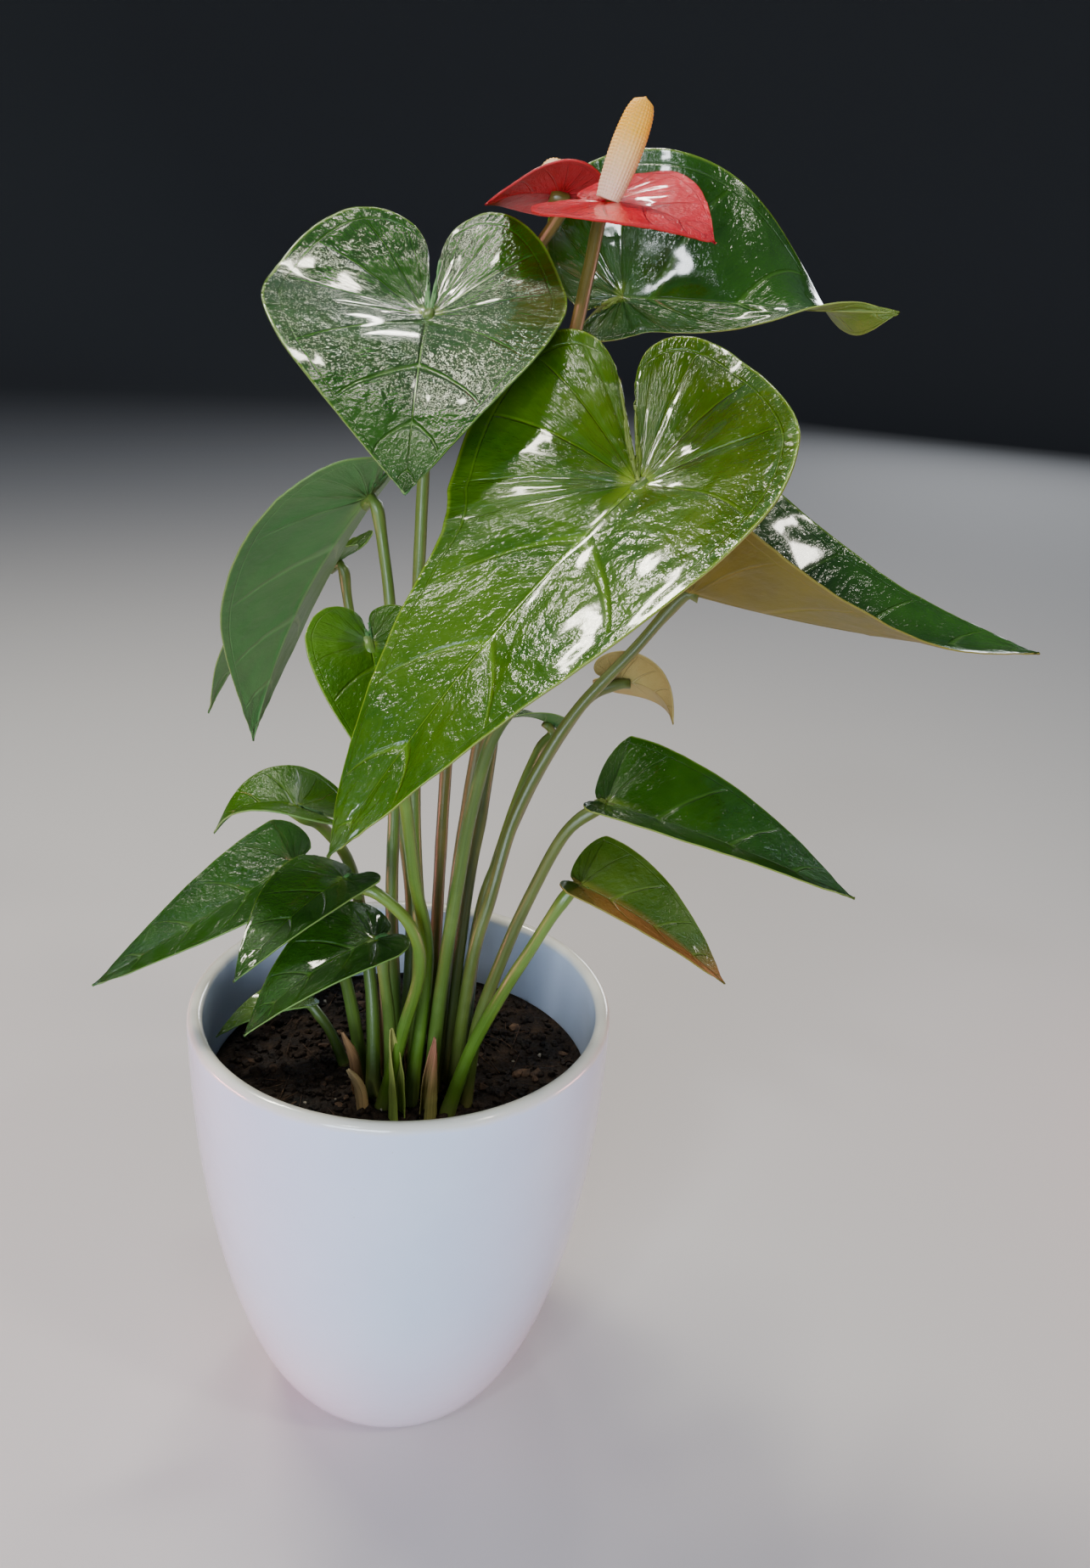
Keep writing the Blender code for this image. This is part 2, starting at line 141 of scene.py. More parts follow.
# Each panel: where it hangs, what it faces, width and height, power, colour.
LIGHT_PANELS = {
    "panel_window": ((-0.50, 0.46, 1.25), (0.03, -0.07, 0.32), (0.40, 0.07), 9.0, (1.0, 0.95, 0.80)),
    "panel_overhead": ((-0.08, 0.25, 1.25), (0.0, 0.0, 0.35), (0.26, 0.06), 4.0, (1.0, 0.95, 0.80)),
    "panel_skylight": ((0.12, 0.72, 1.20), (0.05, -0.02, 0.40), (0.10, 0.05), 1.2, (1.0, 0.97, 0.90)),
    "panel_front": ((-0.55, -1.55, 0.50), (0.0, 0.0, 0.08), (0.9, 0.6), 30.0, (0.72, 0.85, 1.0)),
    "panel_front_high": ((-0.50, -1.00, 1.15), (0.05, 0.0, 0.36), (0.16, 0.08), 3.5, (0.90, 0.95, 1.0)),
    "panel_right": ((0.81, -0.70, 1.15), (0.10, 0.0, 0.32), (0.14, 0.08), 4.0, (1.0, 0.96, 0.84)),
    "panel_low_warm": ((0.60, -0.02, 0.05), (0.0, 0.0, 0.05), (0.22, 0.07), 1.2, (1.0, 0.40, 0.40)),
    "panel_low_left": ((-0.55, -0.05, 0.05), (0.0, 0.0, 0.05), (0.22, 0.07), 2.0, (1.0, 0.32, 0.30)),
    "panel_back": ((1.60, 2.90, 0.85), (0.0, 0.0, 0.20), (1.20, 0.70), 26.0, (0.92, 0.96, 1.0)),
}
for name, (place, target, size, power, colour) in LIGHT_PANELS.items():
    data = bpy.data.lights.new(name, "AREA")
    data.shape = "RECTANGLE"
    data.size, data.size_y = size
    data.energy = power
    data.color = colour
    lamp = bpy.data.objects.new(name, data)
    lamp.location = place
    lamp.rotation_euler = (Vector(target) - Vector(place)).to_track_quat("-Z", "Y").to_euler()
    bpy.context.scene.collection.objects.link(lamp)

forward = Vector((math.sin(CAMERA_YAW) * math.cos(CAMERA_PITCH),
                  math.cos(CAMERA_YAW) * math.cos(CAMERA_PITCH), -math.sin(CAMERA_PITCH)))
level = forward.cross(Vector((0, 0, 1))).normalized()
tilt = Matrix.Rotation(-CAMERA_ROLL, 3, forward)
rightward, upward = tilt @ level, tilt @ level.cross(forward)
camera_data = bpy.data.cameras.new("camera")
camera_data.lens = CAMERA_LENS
camera_data.sensor_width = 36.0
camera_data.clip_start = 0.01
camera = bpy.data.objects.new("camera", camera_data)
camera.matrix_world = (Matrix.Translation(CAMERA_PLACE)
                       @ Matrix((rightward, upward, -forward)).transposed().to_4x4())
bpy.context.scene.collection.objects.link(camera)
bpy.context.scene.camera = camera


# ---------------------------------------------------------------------------------------------
# The pot: one slip-cast shell of white earthenware, tapering to a small flat foot, dipped in a
# glossy glaze that thins to cream on the lip, with a pink reflection of the floor painted low on it.
# The foot stands directly on the floor.

pot_low, pot_high = (Vector(corner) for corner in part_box("pot"))
POT_HEIGHT = pot_high.z
RIM_RADIUS = (pot_high.x - pot_low.x) / 2
FOOT_RADIUS = 0.521 * RIM_RADIUS
POT_WALL = 5 * MM
POT_FLOOR = 7 * MM
FOOT_CHAMFER = 1.2 * MM
BELLY_POWER = 2.2
BELLY_ROUNDNESS = 1.5
POT_STEPS = 144
POT_RINGS = 40
GLAZE_RIPPLE = 0.12 * MM


def pot_radius(height):
    """Outer radius of the pot: nearly straight at the rim, rounding in towards the foot."""
    depth = 1.0 - height / POT_HEIGHT
    swell = max(1.0 - depth ** BELLY_POWER, 0.0) ** (1.0 / BELLY_ROUNDNESS)
    return FOOT_RADIUS + (RIM_RADIUS - FOOT_RADIUS) * swell


def heights_between(low, high, count):
    """Heights packed closer near the low end, where the pot curves most."""
    return [low + (high - low) * (step / count) ** 1.6 for step in range(count + 1)]


def pot_profile():
    """Outline of the wall from the middle of the foot, over the rounded lip, to the middle of the inside."""
    lip = POT_HEIGHT - POT_WALL / 2
    points = [(0.0, 0.0), (FOOT_RADIUS * 0.6, 0.0)]
    for step in range(5):
        turn = math.pi / 2 * step / 4
        inset, rise = FOOT_CHAMFER * (1 - math.sin(turn)), FOOT_CHAMFER * (1 - math.cos(turn))
        points.append((FOOT_RADIUS - inset, rise))
    points += [(pot_radius(z), z) for z in heights_between(FOOT_CHAMFER, lip, POT_RINGS)[1:]]
    for step in range(1, 12):
        turn = math.pi * step / 12
        middle = pot_radius(lip) - POT_WALL / 2
        points.append((middle + math.cos(turn) * POT_WALL / 2, lip + math.sin(turn) * POT_WALL / 2))
    points += [(pot_radius(z) - POT_WALL, z) for z in reversed(heights_between(POT_FLOOR, lip, POT_RINGS))]
    return points + [(0.0, POT_FLOOR)]


def ramp_of(tree, factor, stops):
    """Colour output of a ramp through (position, colour) stops."""
    made = add_node(tree, "ValToRGB", {"Fac": factor})
    while len(made.color_ramp.elements) < len(stops):
        made.color_ramp.elements.new(0.5)
    for element, (position, colour) in zip(made.color_ramp.elements, stops):
        element.position = position
        element.color = colour if len(colour) == 4 else (*colour, 1.0)
    return made.outputs["Color"]


def object_place(tree):
    """A point's place in the object's own frame."""
    return add_node(tree, "TexCoord").outputs["Object"]


def uv_of(tree, name):
    """A point's place on a piece's named UV map."""
    return add_node(tree, "UVMap", uv_map=name).outputs["UV"]


def noise_of(tree, vector, scale, detail=3.0, roughness=0.55, distortion=0.0):
    """Value output of a noise texture."""
    return add_node(tree, "TexNoise", {"Vector": vector, "Scale": scale, "Detail": detail,
                                       "Roughness": roughness, "Distortion": distortion}).outputs["Fac"]


def stretched(tree, vector, scale):
    """A vector scaled by a different amount along each axis."""
    return add_node(tree, "Mapping", {"Vector": vector, "Scale": scale}).outputs["Vector"]


def maths(tree, operation, *values):
    """Value output of a maths node."""
    made = tree.nodes.new("ShaderNodeMath")
    made.operation = operation
    for socket, value in zip(made.inputs, values):
        if isinstance(value, bpy.types.NodeSocket):
            tree.links.new(value, socket)
        else:
            socket.default_value = value
    return made.outputs["Value"]


def times(tree, first, second):
    """Product of two values."""
    return maths(tree, "MULTIPLY", first, second)


def between(tree, value, low, high, start=0.0, end=1.0):
    """A value taken smoothly from start to end as it goes from low to high."""
    return add_node(tree, "MapRange", {"Value": value, "From Min": low, "From Max": high, "To Min": start,
                                       "To Max": end}, interpolation_type="SMOOTHSTEP").outputs["Result"]


def mixed(tree, factor, first, second, blend="MIX"):
    """Colour output of a mix of two colours."""
    made = tree.nodes.new("ShaderNodeMix")
    made.data_type = "RGBA"
    made.blend_type = blend
    for index, value in ((0, factor), (6, first), (7, second)):
        if isinstance(value, bpy.types.NodeSocket):
            tree.links.new(value, made.inputs[index])
        elif index == 0:
            made.inputs[index].default_value = value
        else:
            made.inputs[index].default_value = (*value, 1.0)
    return made.outputs[2]


def bumped(tree, shader, height, distance, strength=1.0):
    """A bump from a height value, fed to the shader's normal."""
    bump = add_node(tree, "Bump", {"Height": height, "Distance": distance, "Strength": strength})
    tree.links.new(bump.outputs["Normal"], shader.inputs["Normal"])
    return bump


bm = spun(pot_profile(), POT_STEPS)
for corner in bm.verts:
    outward = Vector((corner.co.x, corner.co.y, 0.0))
    if FOOT_CHAMFER < corner.co.z and outward.length > 1 * MM:
        ripple = noise.noise(corner.co * 22.0) + 0.35 * noise.noise(corner.co * 90.0)
        corner.co += outward.normalized() * ripple * GLAZE_RIPPLE
pot_glaze, tree, shader = principled("pot_glaze", Roughness=0.14, Coat_Weight=0.35, Coat_Roughness=0.05,
                                     IOR=1.52)
coords = object_place(tree)
height = add_node(tree, "SeparateXYZ", {"Vector": coords}).outputs["Z"]
cloudy = noise_of(tree, coords, 26.0, 3.0)
glaze = ramp_of(tree, cloudy, ((0.30, (0.65, 0.73, 0.93)), (0.70, (0.70, 0.78, 0.97))))
lip_worn = maths(tree, "ADD", height, times(tree, noise_of(tree, coords, 60.0), 2.0 * MM))
lip = between(tree, lip_worn, POT_HEIGHT - 2.4 * MM, POT_HEIGHT + 0.3 * MM)
glaze = mixed(tree, lip, glaze, (0.80, 0.77, 0.70))
# Painted reflection: a pink reflection of the floor, mixed into the glaze low down and stronger towards the
# foot.
painted_floor_reflection = between(tree, height, 0.085, 0.0)
glaze = mixed(tree, times(tree, painted_floor_reflection, 0.75), glaze, (0.92, 0.70, 0.80))
foot = between(tree, height, 0.9 * MM, 0.1 * MM)
glaze = mixed(tree, foot, glaze, (0.62, 0.52, 0.44))
specks = add_node(tree, "TexVoronoi", {"Vector": coords, "Scale": 150.0}).outputs["Distance"]
pinhole = maths(tree, "LESS_THAN", specks, 0.035)
glaze = mixed(tree, times(tree, pinhole, 0.30), glaze, (0.40, 0.36, 0.32))
paint(tree, shader, glaze)
gloss = maths(tree, "ADD", times(tree, noise_of(tree, coords, 35.0), 0.10), 0.09)
tree.links.new(maths(tree, "ADD", gloss, times(tree, foot, 0.5)), shader.inputs["Roughness"])
peel = maths(tree, "SUBTRACT", noise_of(tree, coords, 210.0, 1.0), times(tree, pinhole, 2.0))
bumped(tree, shader, peel, 0.06 * MM)
pot = finished_mesh("glazed_pot", bm, pot_glaze)
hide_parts("pot")
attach(pot, "root")


# ---------------------------------------------------------------------------------------------
# The soil: dark peaty potting mix filling the pot to below its rim, lumpy on top, with crumbs,
# a few chips of bark and pale grit, and fine fibres lying loose on it.

soil_low, soil_high = (Vector(corner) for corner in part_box("soil"))
SOIL_TOP = soil_high.z
SOIL_RADIUS = (soil_high.x - soil_low.x) / 2
SOIL_RINGS = 44
SOIL_STEPS = 150
LUMP_HEIGHT = 2.2 * MM
SOIL_LUMPS = ((70.0, 0.55), (190.0, 0.35), (480.0, 0.20))
CROWN_MIDDLE = Vector((3 * MM, -8 * MM, 0.0))
CRUMBS = 1500
BARK_CHIPS = 60
GRIT_GRAINS = 26
FIBRES = 46


def ground(x, y):
    """Height of the lumpy soil surface at a place."""
    spot = Vector((x, y, 0.0))
    lumps = sum(noise.noise(spot * scale) * share for scale, share in SOIL_LUMPS)
    mound = math.exp(-((spot - CROWN_MIDDLE).length / (17 * MM)) ** 2) * 1.6 * MM
    edge = max(spot.length / SOIL_RADIUS - 0.86, 0.0) / 0.14
    return SOIL_TOP - 1.1 * MM + LUMP_HEIGHT * lumps + mound - edge ** 2 * 1.6 * MM


def soil_profile():
    """Outline of the soil from the middle of the pot's floor, up the wall and in over the surface."""
    low, edge = soil_low.z, SOIL_TOP - 1.5 * MM
    clearance = POT_WALL + 0.3 * MM
    points = [(0.0, low)] + [(pot_radius(z) - clearance, z) for z in heights_between(low, edge, 10)]
    top = pot_radius(edge) - clearance
    return points + [(top * (1 - (ring + 1) / SOIL_RINGS), SOIL_TOP) for ring in range(SOIL_RINGS)]


def scattered(reach):
    """A random place on the soil, clear of the wall."""
    radius, turn = reach * math.sqrt(random.random()), random.uniform(0, 2 * math.pi)
    return radius * math.cos(turn), radius * math.sin(turn)


def add_grain(bm, x, y, size, flatness):
    """One irregular grain resting on the soil."""
    centre = Vector((x, y, ground(x, y) + size * 0.25))
    spin = Matrix.Rotation(random.uniform(0, 2 * math.pi), 4, "Z")
    turn = spin @ Matrix.Rotation(random.uniform(-0.6, 0.6), 4, "X")
    shape = Matrix.Diagonal((size, size * random.uniform(0.55, 0.9), size * flatness, 1.0))
    made = bmesh.ops.create_icosphere(bm, subdivisions=1, radius=1.0,
                                      matrix=Matrix.Translation(centre) @ turn @ shape)
    for corner in made["verts"]:
        corner.co += Vector([random.uniform(-0.16, 0.16) * size for axis in range(3)])


random.seed(31)
bm = spun(soil_profile(), SOIL_STEPS)
for corner in bm.verts:
    if corner.co.z > SOIL_TOP - 0.5 * MM:
        corner.co.z = ground(corner.co.x, corner.co.y)
soil_loam, tree, shader = principled("soil_loam", Roughness=0.92)
shader.inputs["Specular IOR Level"].default_value = 0.25
coords = object_place(tree)
damp = noise_of(tree, coords, 90.0, 5.0, 0.7)
crumb = add_node(tree, "TexVoronoi", {"Vector": coords, "Scale": 620.0}).outputs["Distance"]
loam = ramp_of(tree, damp, ((0.34, (0.006, 0.004, 0.003)), (0.52, (0.020, 0.012, 0.008)),
                            (0.68, (0.052, 0.032, 0.020)), (0.80, (0.11, 0.075, 0.048))))
paint(tree, shader, loam)
tree.links.new(between(tree, damp, 0.3, 0.7, 0.62, 0.98), shader.inputs["Roughness"])
bumped(tree, shader, maths(tree, "ADD", crumb, times(tree, damp, 2.0)), 0.9 * MM)
soil = finished_mesh("potting_soil", bm, soil_loam)
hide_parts("soil")
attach(soil, "root")

bm = bmesh.new()
for grain in range(CRUMBS):
    x, y = scattered(SOIL_RADIUS - 3.0 * MM)
    add_grain(bm, x, y, random.uniform(0.5, 1.9) ** 1.2 * MM, random.uniform(0.45, 0.8))
crumbs = finished_mesh("soil_crumbs", bm, soil_loam)
crumbs.data.shade_flat()
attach(crumbs, "root")

bark_brown, tree, shader = principled("bark_brown", Roughness=0.85)
coords = object_place(tree)
grain = noise_of(tree, coords, 300.0, 4.0, 0.7)
paint(tree, shader, ramp_of(tree, grain, ((0.35, (0.020, 0.011, 0.006)), (0.60, (0.085, 0.042, 0.020)),
                                          (0.75, (0.19, 0.11, 0.055)))))
bumped(tree, shader, grain, 0.4 * MM)
bm = bmesh.new()
for chip in range(BARK_CHIPS):
    x, y = scattered(SOIL_RADIUS - 5.0 * MM)
    add_grain(bm, x, y, random.uniform(1.4, 3.0) * MM, 0.30)
bark = finished_mesh("bark_chips", bm, bark_brown)
bark.data.shade_flat()
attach(bark, "root")

grit_pale, tree, shader = principled("grit_pale", Roughness=0.8)
coords = object_place(tree)
grit_colour = ramp_of(tree, noise_of(tree, coords, 500.0),
                      ((0.35, (0.24, 0.20, 0.15)), (0.7, (0.48, 0.43, 0.35))))
paint(tree, shader, grit_colour)
bumped(tree, shader, noise_of(tree, coords, 900.0), 0.3 * MM)
bm = bmesh.new()
for grain in range(GRIT_GRAINS):
    x, y = scattered(SOIL_RADIUS - 5.0 * MM)
    add_grain(bm, x, y, random.uniform(0.5, 1.0) * MM, 0.8)
grit = finished_mesh("pale_grit", bm, grit_pale)
grit.data.shade_flat()
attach(grit, "root")

bm = bmesh.new()
for fibre in range(FIBRES):
    x, y = scattered(SOIL_RADIUS - 12.0 * MM)
    length = random.uniform(6, 15) * MM
    lie = Matrix.Rotation(random.uniform(0, 2 * math.pi), 4, "Z") @ Matrix.Rotation(math.radians(84), 4, "Y")
    made = bmesh.ops.create_cone(bm, cap_ends=True, segments=5, radius1=0.22 * MM, radius2=0.10 * MM,
                                 depth=length, matrix=lie)
    bmesh.ops.translate(bm, verts=made["verts"], vec=(x, y, ground(x, y) + 0.9 * MM))
fibres = finished_mesh("root_fibres", bm, bark_brown)
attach(fibres, "root")


# ---------------------------------------------------------------------------------------------
# The crown and its sheaths: a short knobbly stem, ringed by old leaf scars, that every stalk springs
# from, with the papery sheaths that once wrapped young leaves still standing round it.

STALK_STEP = 2.2 * MM
SHEATH_WALL = 0.30 * MM


def smooth_at(points, position):
    """Catmull-Rom point on a list of vectors; position runs from 0 to len(points) - 1."""
    index = min(int(position), len(points) - 2)
    part = position - index
    before = points[max(index - 1, 0)]
    start, end = points[index], points[index + 1]
    after = points[min(index + 2, len(points) - 1)]
    return 0.5 * (2 * start + (end - before) * part
                  + (2 * before - 5 * start + 4 * end - after) * part ** 2
                  + (3 * start - before - 3 * end + after) * part ** 3)


def placed(point):
    """A place given in millimetres above the soil, as a vector in metres."""
    return Vector((point[0] * MM, point[1] * MM, SOIL_TOP + point[2] * MM))


def course(knots, step):
    """Evenly stepped stations along a smooth line: place, direction and two cross directions."""
    fine = [smooth_at(knots, (len(knots) - 1) * index / 240) for index in range(241)]
    reached = [0.0]
    for start, end in zip(fine, fine[1:]):
        reached.append(reached[-1] + (end - start).length)
    count = max(round(reached[-1] / step), 6)
    stations, index, across = [], 0, Vector((1, 0, 0))
    for number in range(count + 1):
        goal = reached[-1] * number / count
        while index < 239 and reached[index + 1] < goal:
            index += 1
        part = (goal - reached[index]) / max(reached[index + 1] - reached[index], 1e-9)
        ahead = (fine[index + 1] - fine[index]).normalized()
        across = (across - ahead * ahead.dot(across)).normalized()
        stations.append((fine[index].lerp(fine[index + 1], part), ahead, across, ahead.cross(across)))
    return stations


def wrapped(stations, around, surface, closed=True):
    """A bmesh grid wrapped round a line of stations; surface gives (out, turn) from (turn share, run)."""
    bm = bmesh.new()
    layer = bm.loops.layers.uv.new("along")
    rows = len(stations) - 1
    bmesh.ops.create_grid(bm, x_segments=around, y_segments=rows, size=0.5)
    for face in bm.faces:
        for loop in face.loops:
            loop[layer].uv = (loop.vert.co.x + 0.5, loop.vert.co.y + 0.5)
    for corner in bm.verts:
        turn, run = corner.co.x + 0.5, corner.co.y + 0.5
        place, ahead, across, beside = stations[round(run * rows)]
        out, angle = surface(turn, run)
        corner.co = place + (across * math.cos(angle) + beside * math.sin(angle)) * out
    if closed:
        bmesh.ops.remove_doubles(bm, verts=bm.verts, dist=1e-6)
        open_edges = [edge for edge in bm.edges if edge.is_boundary]
        bmesh.ops.holes_fill(bm, edges=open_edges, sides=0)
        bmesh.ops.recalc_face_normals(bm, faces=bm.faces)
    return bm


crown_low, crown_high = (Vector(corner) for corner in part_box("crown"))
crown_middle = (crown_low + crown_high) / 2
CROWN_RADIUS = (crown_high.x - crown_low.x) / 2


def crown_surface(turn, run):
    """Ringed and knobbly, widest at the soil and closing over at the top."""
    rings = 0.10 * abs(math.sin(run * 4.5 * math.pi)) ** 0.5
    angle = turn * 2 * math.pi
    knobs = 0.22 * noise.noise(Vector((math.cos(angle) * 2, math.sin(angle) * 2, run * 6)))
    closing = math.sqrt(max(1.0 - run ** 3, 0.0))
    return CROWN_RADIUS * (0.86 - 0.18 * run + rings + knobs) * closing + 0.2 * MM, angle


knots = [Vector((crown_middle.x, crown_middle.y, height))
         for height in (crown_low.z - 1.5 * MM, crown_middle.z, crown_high.z)]
bm = wrapped(course(knots, 0.5 * MM), 36, crown_surface)
crown_bark, tree, shader = principled("crown_bark", Roughness=0.8)
coords = object_place(tree)
patch = noise_of(tree, coords, 220.0, 4.0, 0.7)
height = add_node(tree, "SeparateXYZ", {"Vector": coords}).outputs["Z"]
bark_colour = ramp_of(tree, patch, ((0.35, (0.030, 0.016, 0.008)), (0.55, (0.12, 0.065, 0.028)),
                                    (0.72, (0.28, 0.17, 0.08))))
greener = between(tree, height, crown_low.z + 6 * MM, crown_high.z)
paint(tree, shader, mixed(tree, greener, bark_colour, (0.20, 0.22, 0.06)))
bumped(tree, shader, patch, 0.5 * MM)
crown = finished_mesh("crown_stem", bm, crown_bark)
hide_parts("crown")
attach(crown, "root")

# Each sheath: foot, top, radius at the foot, then its colour low down and at the tip.
SHEATHS = {
    "green": ((-1, -27, 0), (-3, -29, 34), 2.6, (0.26, 0.36, 0.06), (0.42, 0.40, 0.10)),
    "pink": ((9, -27, 0), (10, -28, 30), 2.6, (0.34, 0.30, 0.08), (0.45, 0.16, 0.10)),
    "brown_left": ((-14, -14, 0), (-19, -18, 26), 2.0, (0.22, 0.11, 0.04), (0.40, 0.22, 0.10)),
    "brown_tall": ((-5, -4, 0), (-9, -3, 60), 1.7, (0.24, 0.14, 0.05), (0.42, 0.25, 0.13)),
    "dry": ((-12, -23, 0), (-17, -27, 18), 1.9, (0.45, 0.29, 0.12), (0.55, 0.40, 0.20)),
}


def sheath_finish(name, low_colour, tip_colour):
    """Dry ribbed skin, shading from its foot to its tip."""
    skin, tree, shader = principled(name, Roughness=0.62, Coat_Weight=0.05)
    uv = uv_of(tree, "along")
    parts = add_node(tree, "SeparateXYZ", {"Vector": uv})
    ribs = noise_of(tree, stretched(tree, uv, (26.0, 1.5, 1.0)), 1.0, 2.0)
    shade = mixed(tree, between(tree, parts.outputs["Y"], 0.15, 0.95), low_colour, tip_colour)
    dark = tuple(part * 0.35 for part in low_colour)
    paint(tree, shader, mixed(tree, between(tree, ribs, 0.45, 0.75), shade, dark))
    bumped(tree, shader, ribs, 0.3 * MM)
    return skin


for place, (foot, top, radius, low_colour, tip_colour) in SHEATHS.items():
    lean = (foot[0] + (top[0] - foot[0]) * 0.25, foot[1] + (top[1] - foot[1]) * 0.25, (foot[2] + top[2]) / 2)
    knots = [placed((*foot[:2], -1.5)), placed(lean), placed(top)]
    seed = len(place) * 1.7

    def sheath_surface(turn, run):
        """A rolled leaf open down one side, narrowing to a split tip."""
        tip = 1 - run ** 2.4
        ragged = 1 + 0.10 * noise.noise(Vector((turn * 4, run * 9, seed)))
        spread = (0.84 - 0.5 * run ** 2) * 2 * math.pi
        return radius * MM * ragged * (0.25 + 0.75 * tip), spread * (turn - 0.5) + seed

    bm = wrapped(course(knots, 1.2 * MM), 16, sheath_surface, closed=False)
    colours = sheath_finish(f"sheath_{place}_skin", low_colour, tip_colour)
    sheath = finished_mesh(f"sheath_{place}_rolled", bm, colours)
    wall = sheath.modifiers.new("wall", "SOLIDIFY")
    wall.thickness = SHEATH_WALL
    wall.offset = 0.0
    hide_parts(f"sheath_{place}")
    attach(sheath, "root")


# ---------------------------------------------------------------------------------------------
# The leaves: heart-shaped blades, each on a long round petiole. A blade is a thin leathery sheet,
# glossy above and paler below, quilted between sunken veins; the petiole joins it at the notch.

BLADE_WALL = 0.45 * MM
MIDRIB_DEPTH = 1.5 * MM
LATERAL_VEINS = 12
VEIN_SLANT = 0.55
CAD_BLADE_THICKNESS = 1.0 * MM
PETIOLE_FOOT_RADIUS = 2.3 * MM
PETIOLE_TOP_RADIUS = 1.65 * MM
CLEARANCE = 0.3 * MM

# Half of a blade's outline, from the petiole's joint round the lobe to the tip. Across is a share of the
# half width; along is a share of the lobe when negative, of the length when positive.
BLADE_OUTLINE = (
    (0.0, 0.0), (0.035, -0.24), (0.035, -0.50), (0.06, -0.74), (0.16, -0.92), (0.36, -1.0),
    (0.60, -0.90), (0.82, -0.60), (0.96, -0.20), (1.0, 0.06), (0.955, 0.22), (0.80, 0.42),
    (0.58, 0.60), (0.36, 0.76), (0.17, 0.89), (0.06, 0.96), (0.0, 1.0),
)

# Each blade: joint and tip, full width, lobe length, then how it is held and bent (angles in degrees).
BLADES = {
    "front": dict(joint=(54, -60, 210), tip=(-17, -115, 135), width=94, lobe=47, roll=-8, arch=5,
                  fold=0.20, lift=10, turn=-42, slim=0.12, right=0.84, left_lobe=1.20),
    "tall_left": dict(joint=(3, 0, 243), tip=(-2, -60, 205), width=87, lobe=37, roll=1, arch=5,
                      fold=0.20, lift=28, right=0.87),
    "tall_right": dict(joint=(60, 28, 250), tip=(134, 0, 251), width=84, lobe=15, roll=68,
                       fold=0.14, turn=-34, twist=-185, left=0.30, right=0.95, slim=0.0),
    "rear_left": dict(joint=(-14, 20, 190), tip=(-56, 70, 92), width=66, lobe=20, roll=-15, arch=6,
                      fold=0.30, left=0.85, slim=-0.15),
    "hidden_left": dict(joint=(-27, 80, 156), tip=(-76, 98, 92), width=46, lobe=14, roll=0, arch=6,
                        fold=0.25),
    "young_left": dict(joint=(-10, -55, 166), tip=(-3, -85, 136), width=34, lobe=12, arch=2, fold=0.20),
    "wide_right": dict(joint=(82, -5, 171), tip=(186, -20, 160), width=78, lobe=22, roll=12, arch=-3,
                       fold=1.0, tip_fold=-0.7, slim=0.14),
    "low_right": dict(joint=(58, -30, 113), tip=(126, -60, 98), width=46, lobe=5, roll=15, arch=2,
                      fold=0.50, left=0.6),
    "lowest_right": dict(joint=(51, -40, 91), tip=(92, -60, 70), width=34, lobe=5, roll=15, arch=3,
                         fold=0.50, left=0.6),
    "curled_right": dict(joint=(67, 14, 137), tip=(82, -2, 128), width=22, lobe=9, roll=-64, arch=5,
                         fold=0.30),
    "rear_small": dict(joint=(49, 40, 112), tip=(32, 30, 117), width=16, lobe=4, roll=13, arch=2, fold=0.30),
    "small_left": dict(joint=(-31, -30, 110), tip=(-55, -30, 101), width=36, lobe=14, arch=5, fold=0.30,
                       turn=10),
    "low_left": dict(joint=(-35, 0, 77), tip=(-95, -20, 44), width=36, lobe=8, roll=-15, fold=0.30),
    "rim_bright": dict(joint=(-18, -30, 87), tip=(-45, -70, 76), width=34, lobe=7, roll=2, arch=3, fold=0.20,
                       right=0.75),
    "rim_dark": dict(joint=(-9, -20, 61), tip=(-47, -40, 39), width=42, lobe=8, arch=4, fold=0.20,
                     right=0.80),
    "pot_inner": dict(joint=(-33, 8, 22), tip=(-61, 0, 12), width=20, lobe=4, arch=3, fold=0.30),
}

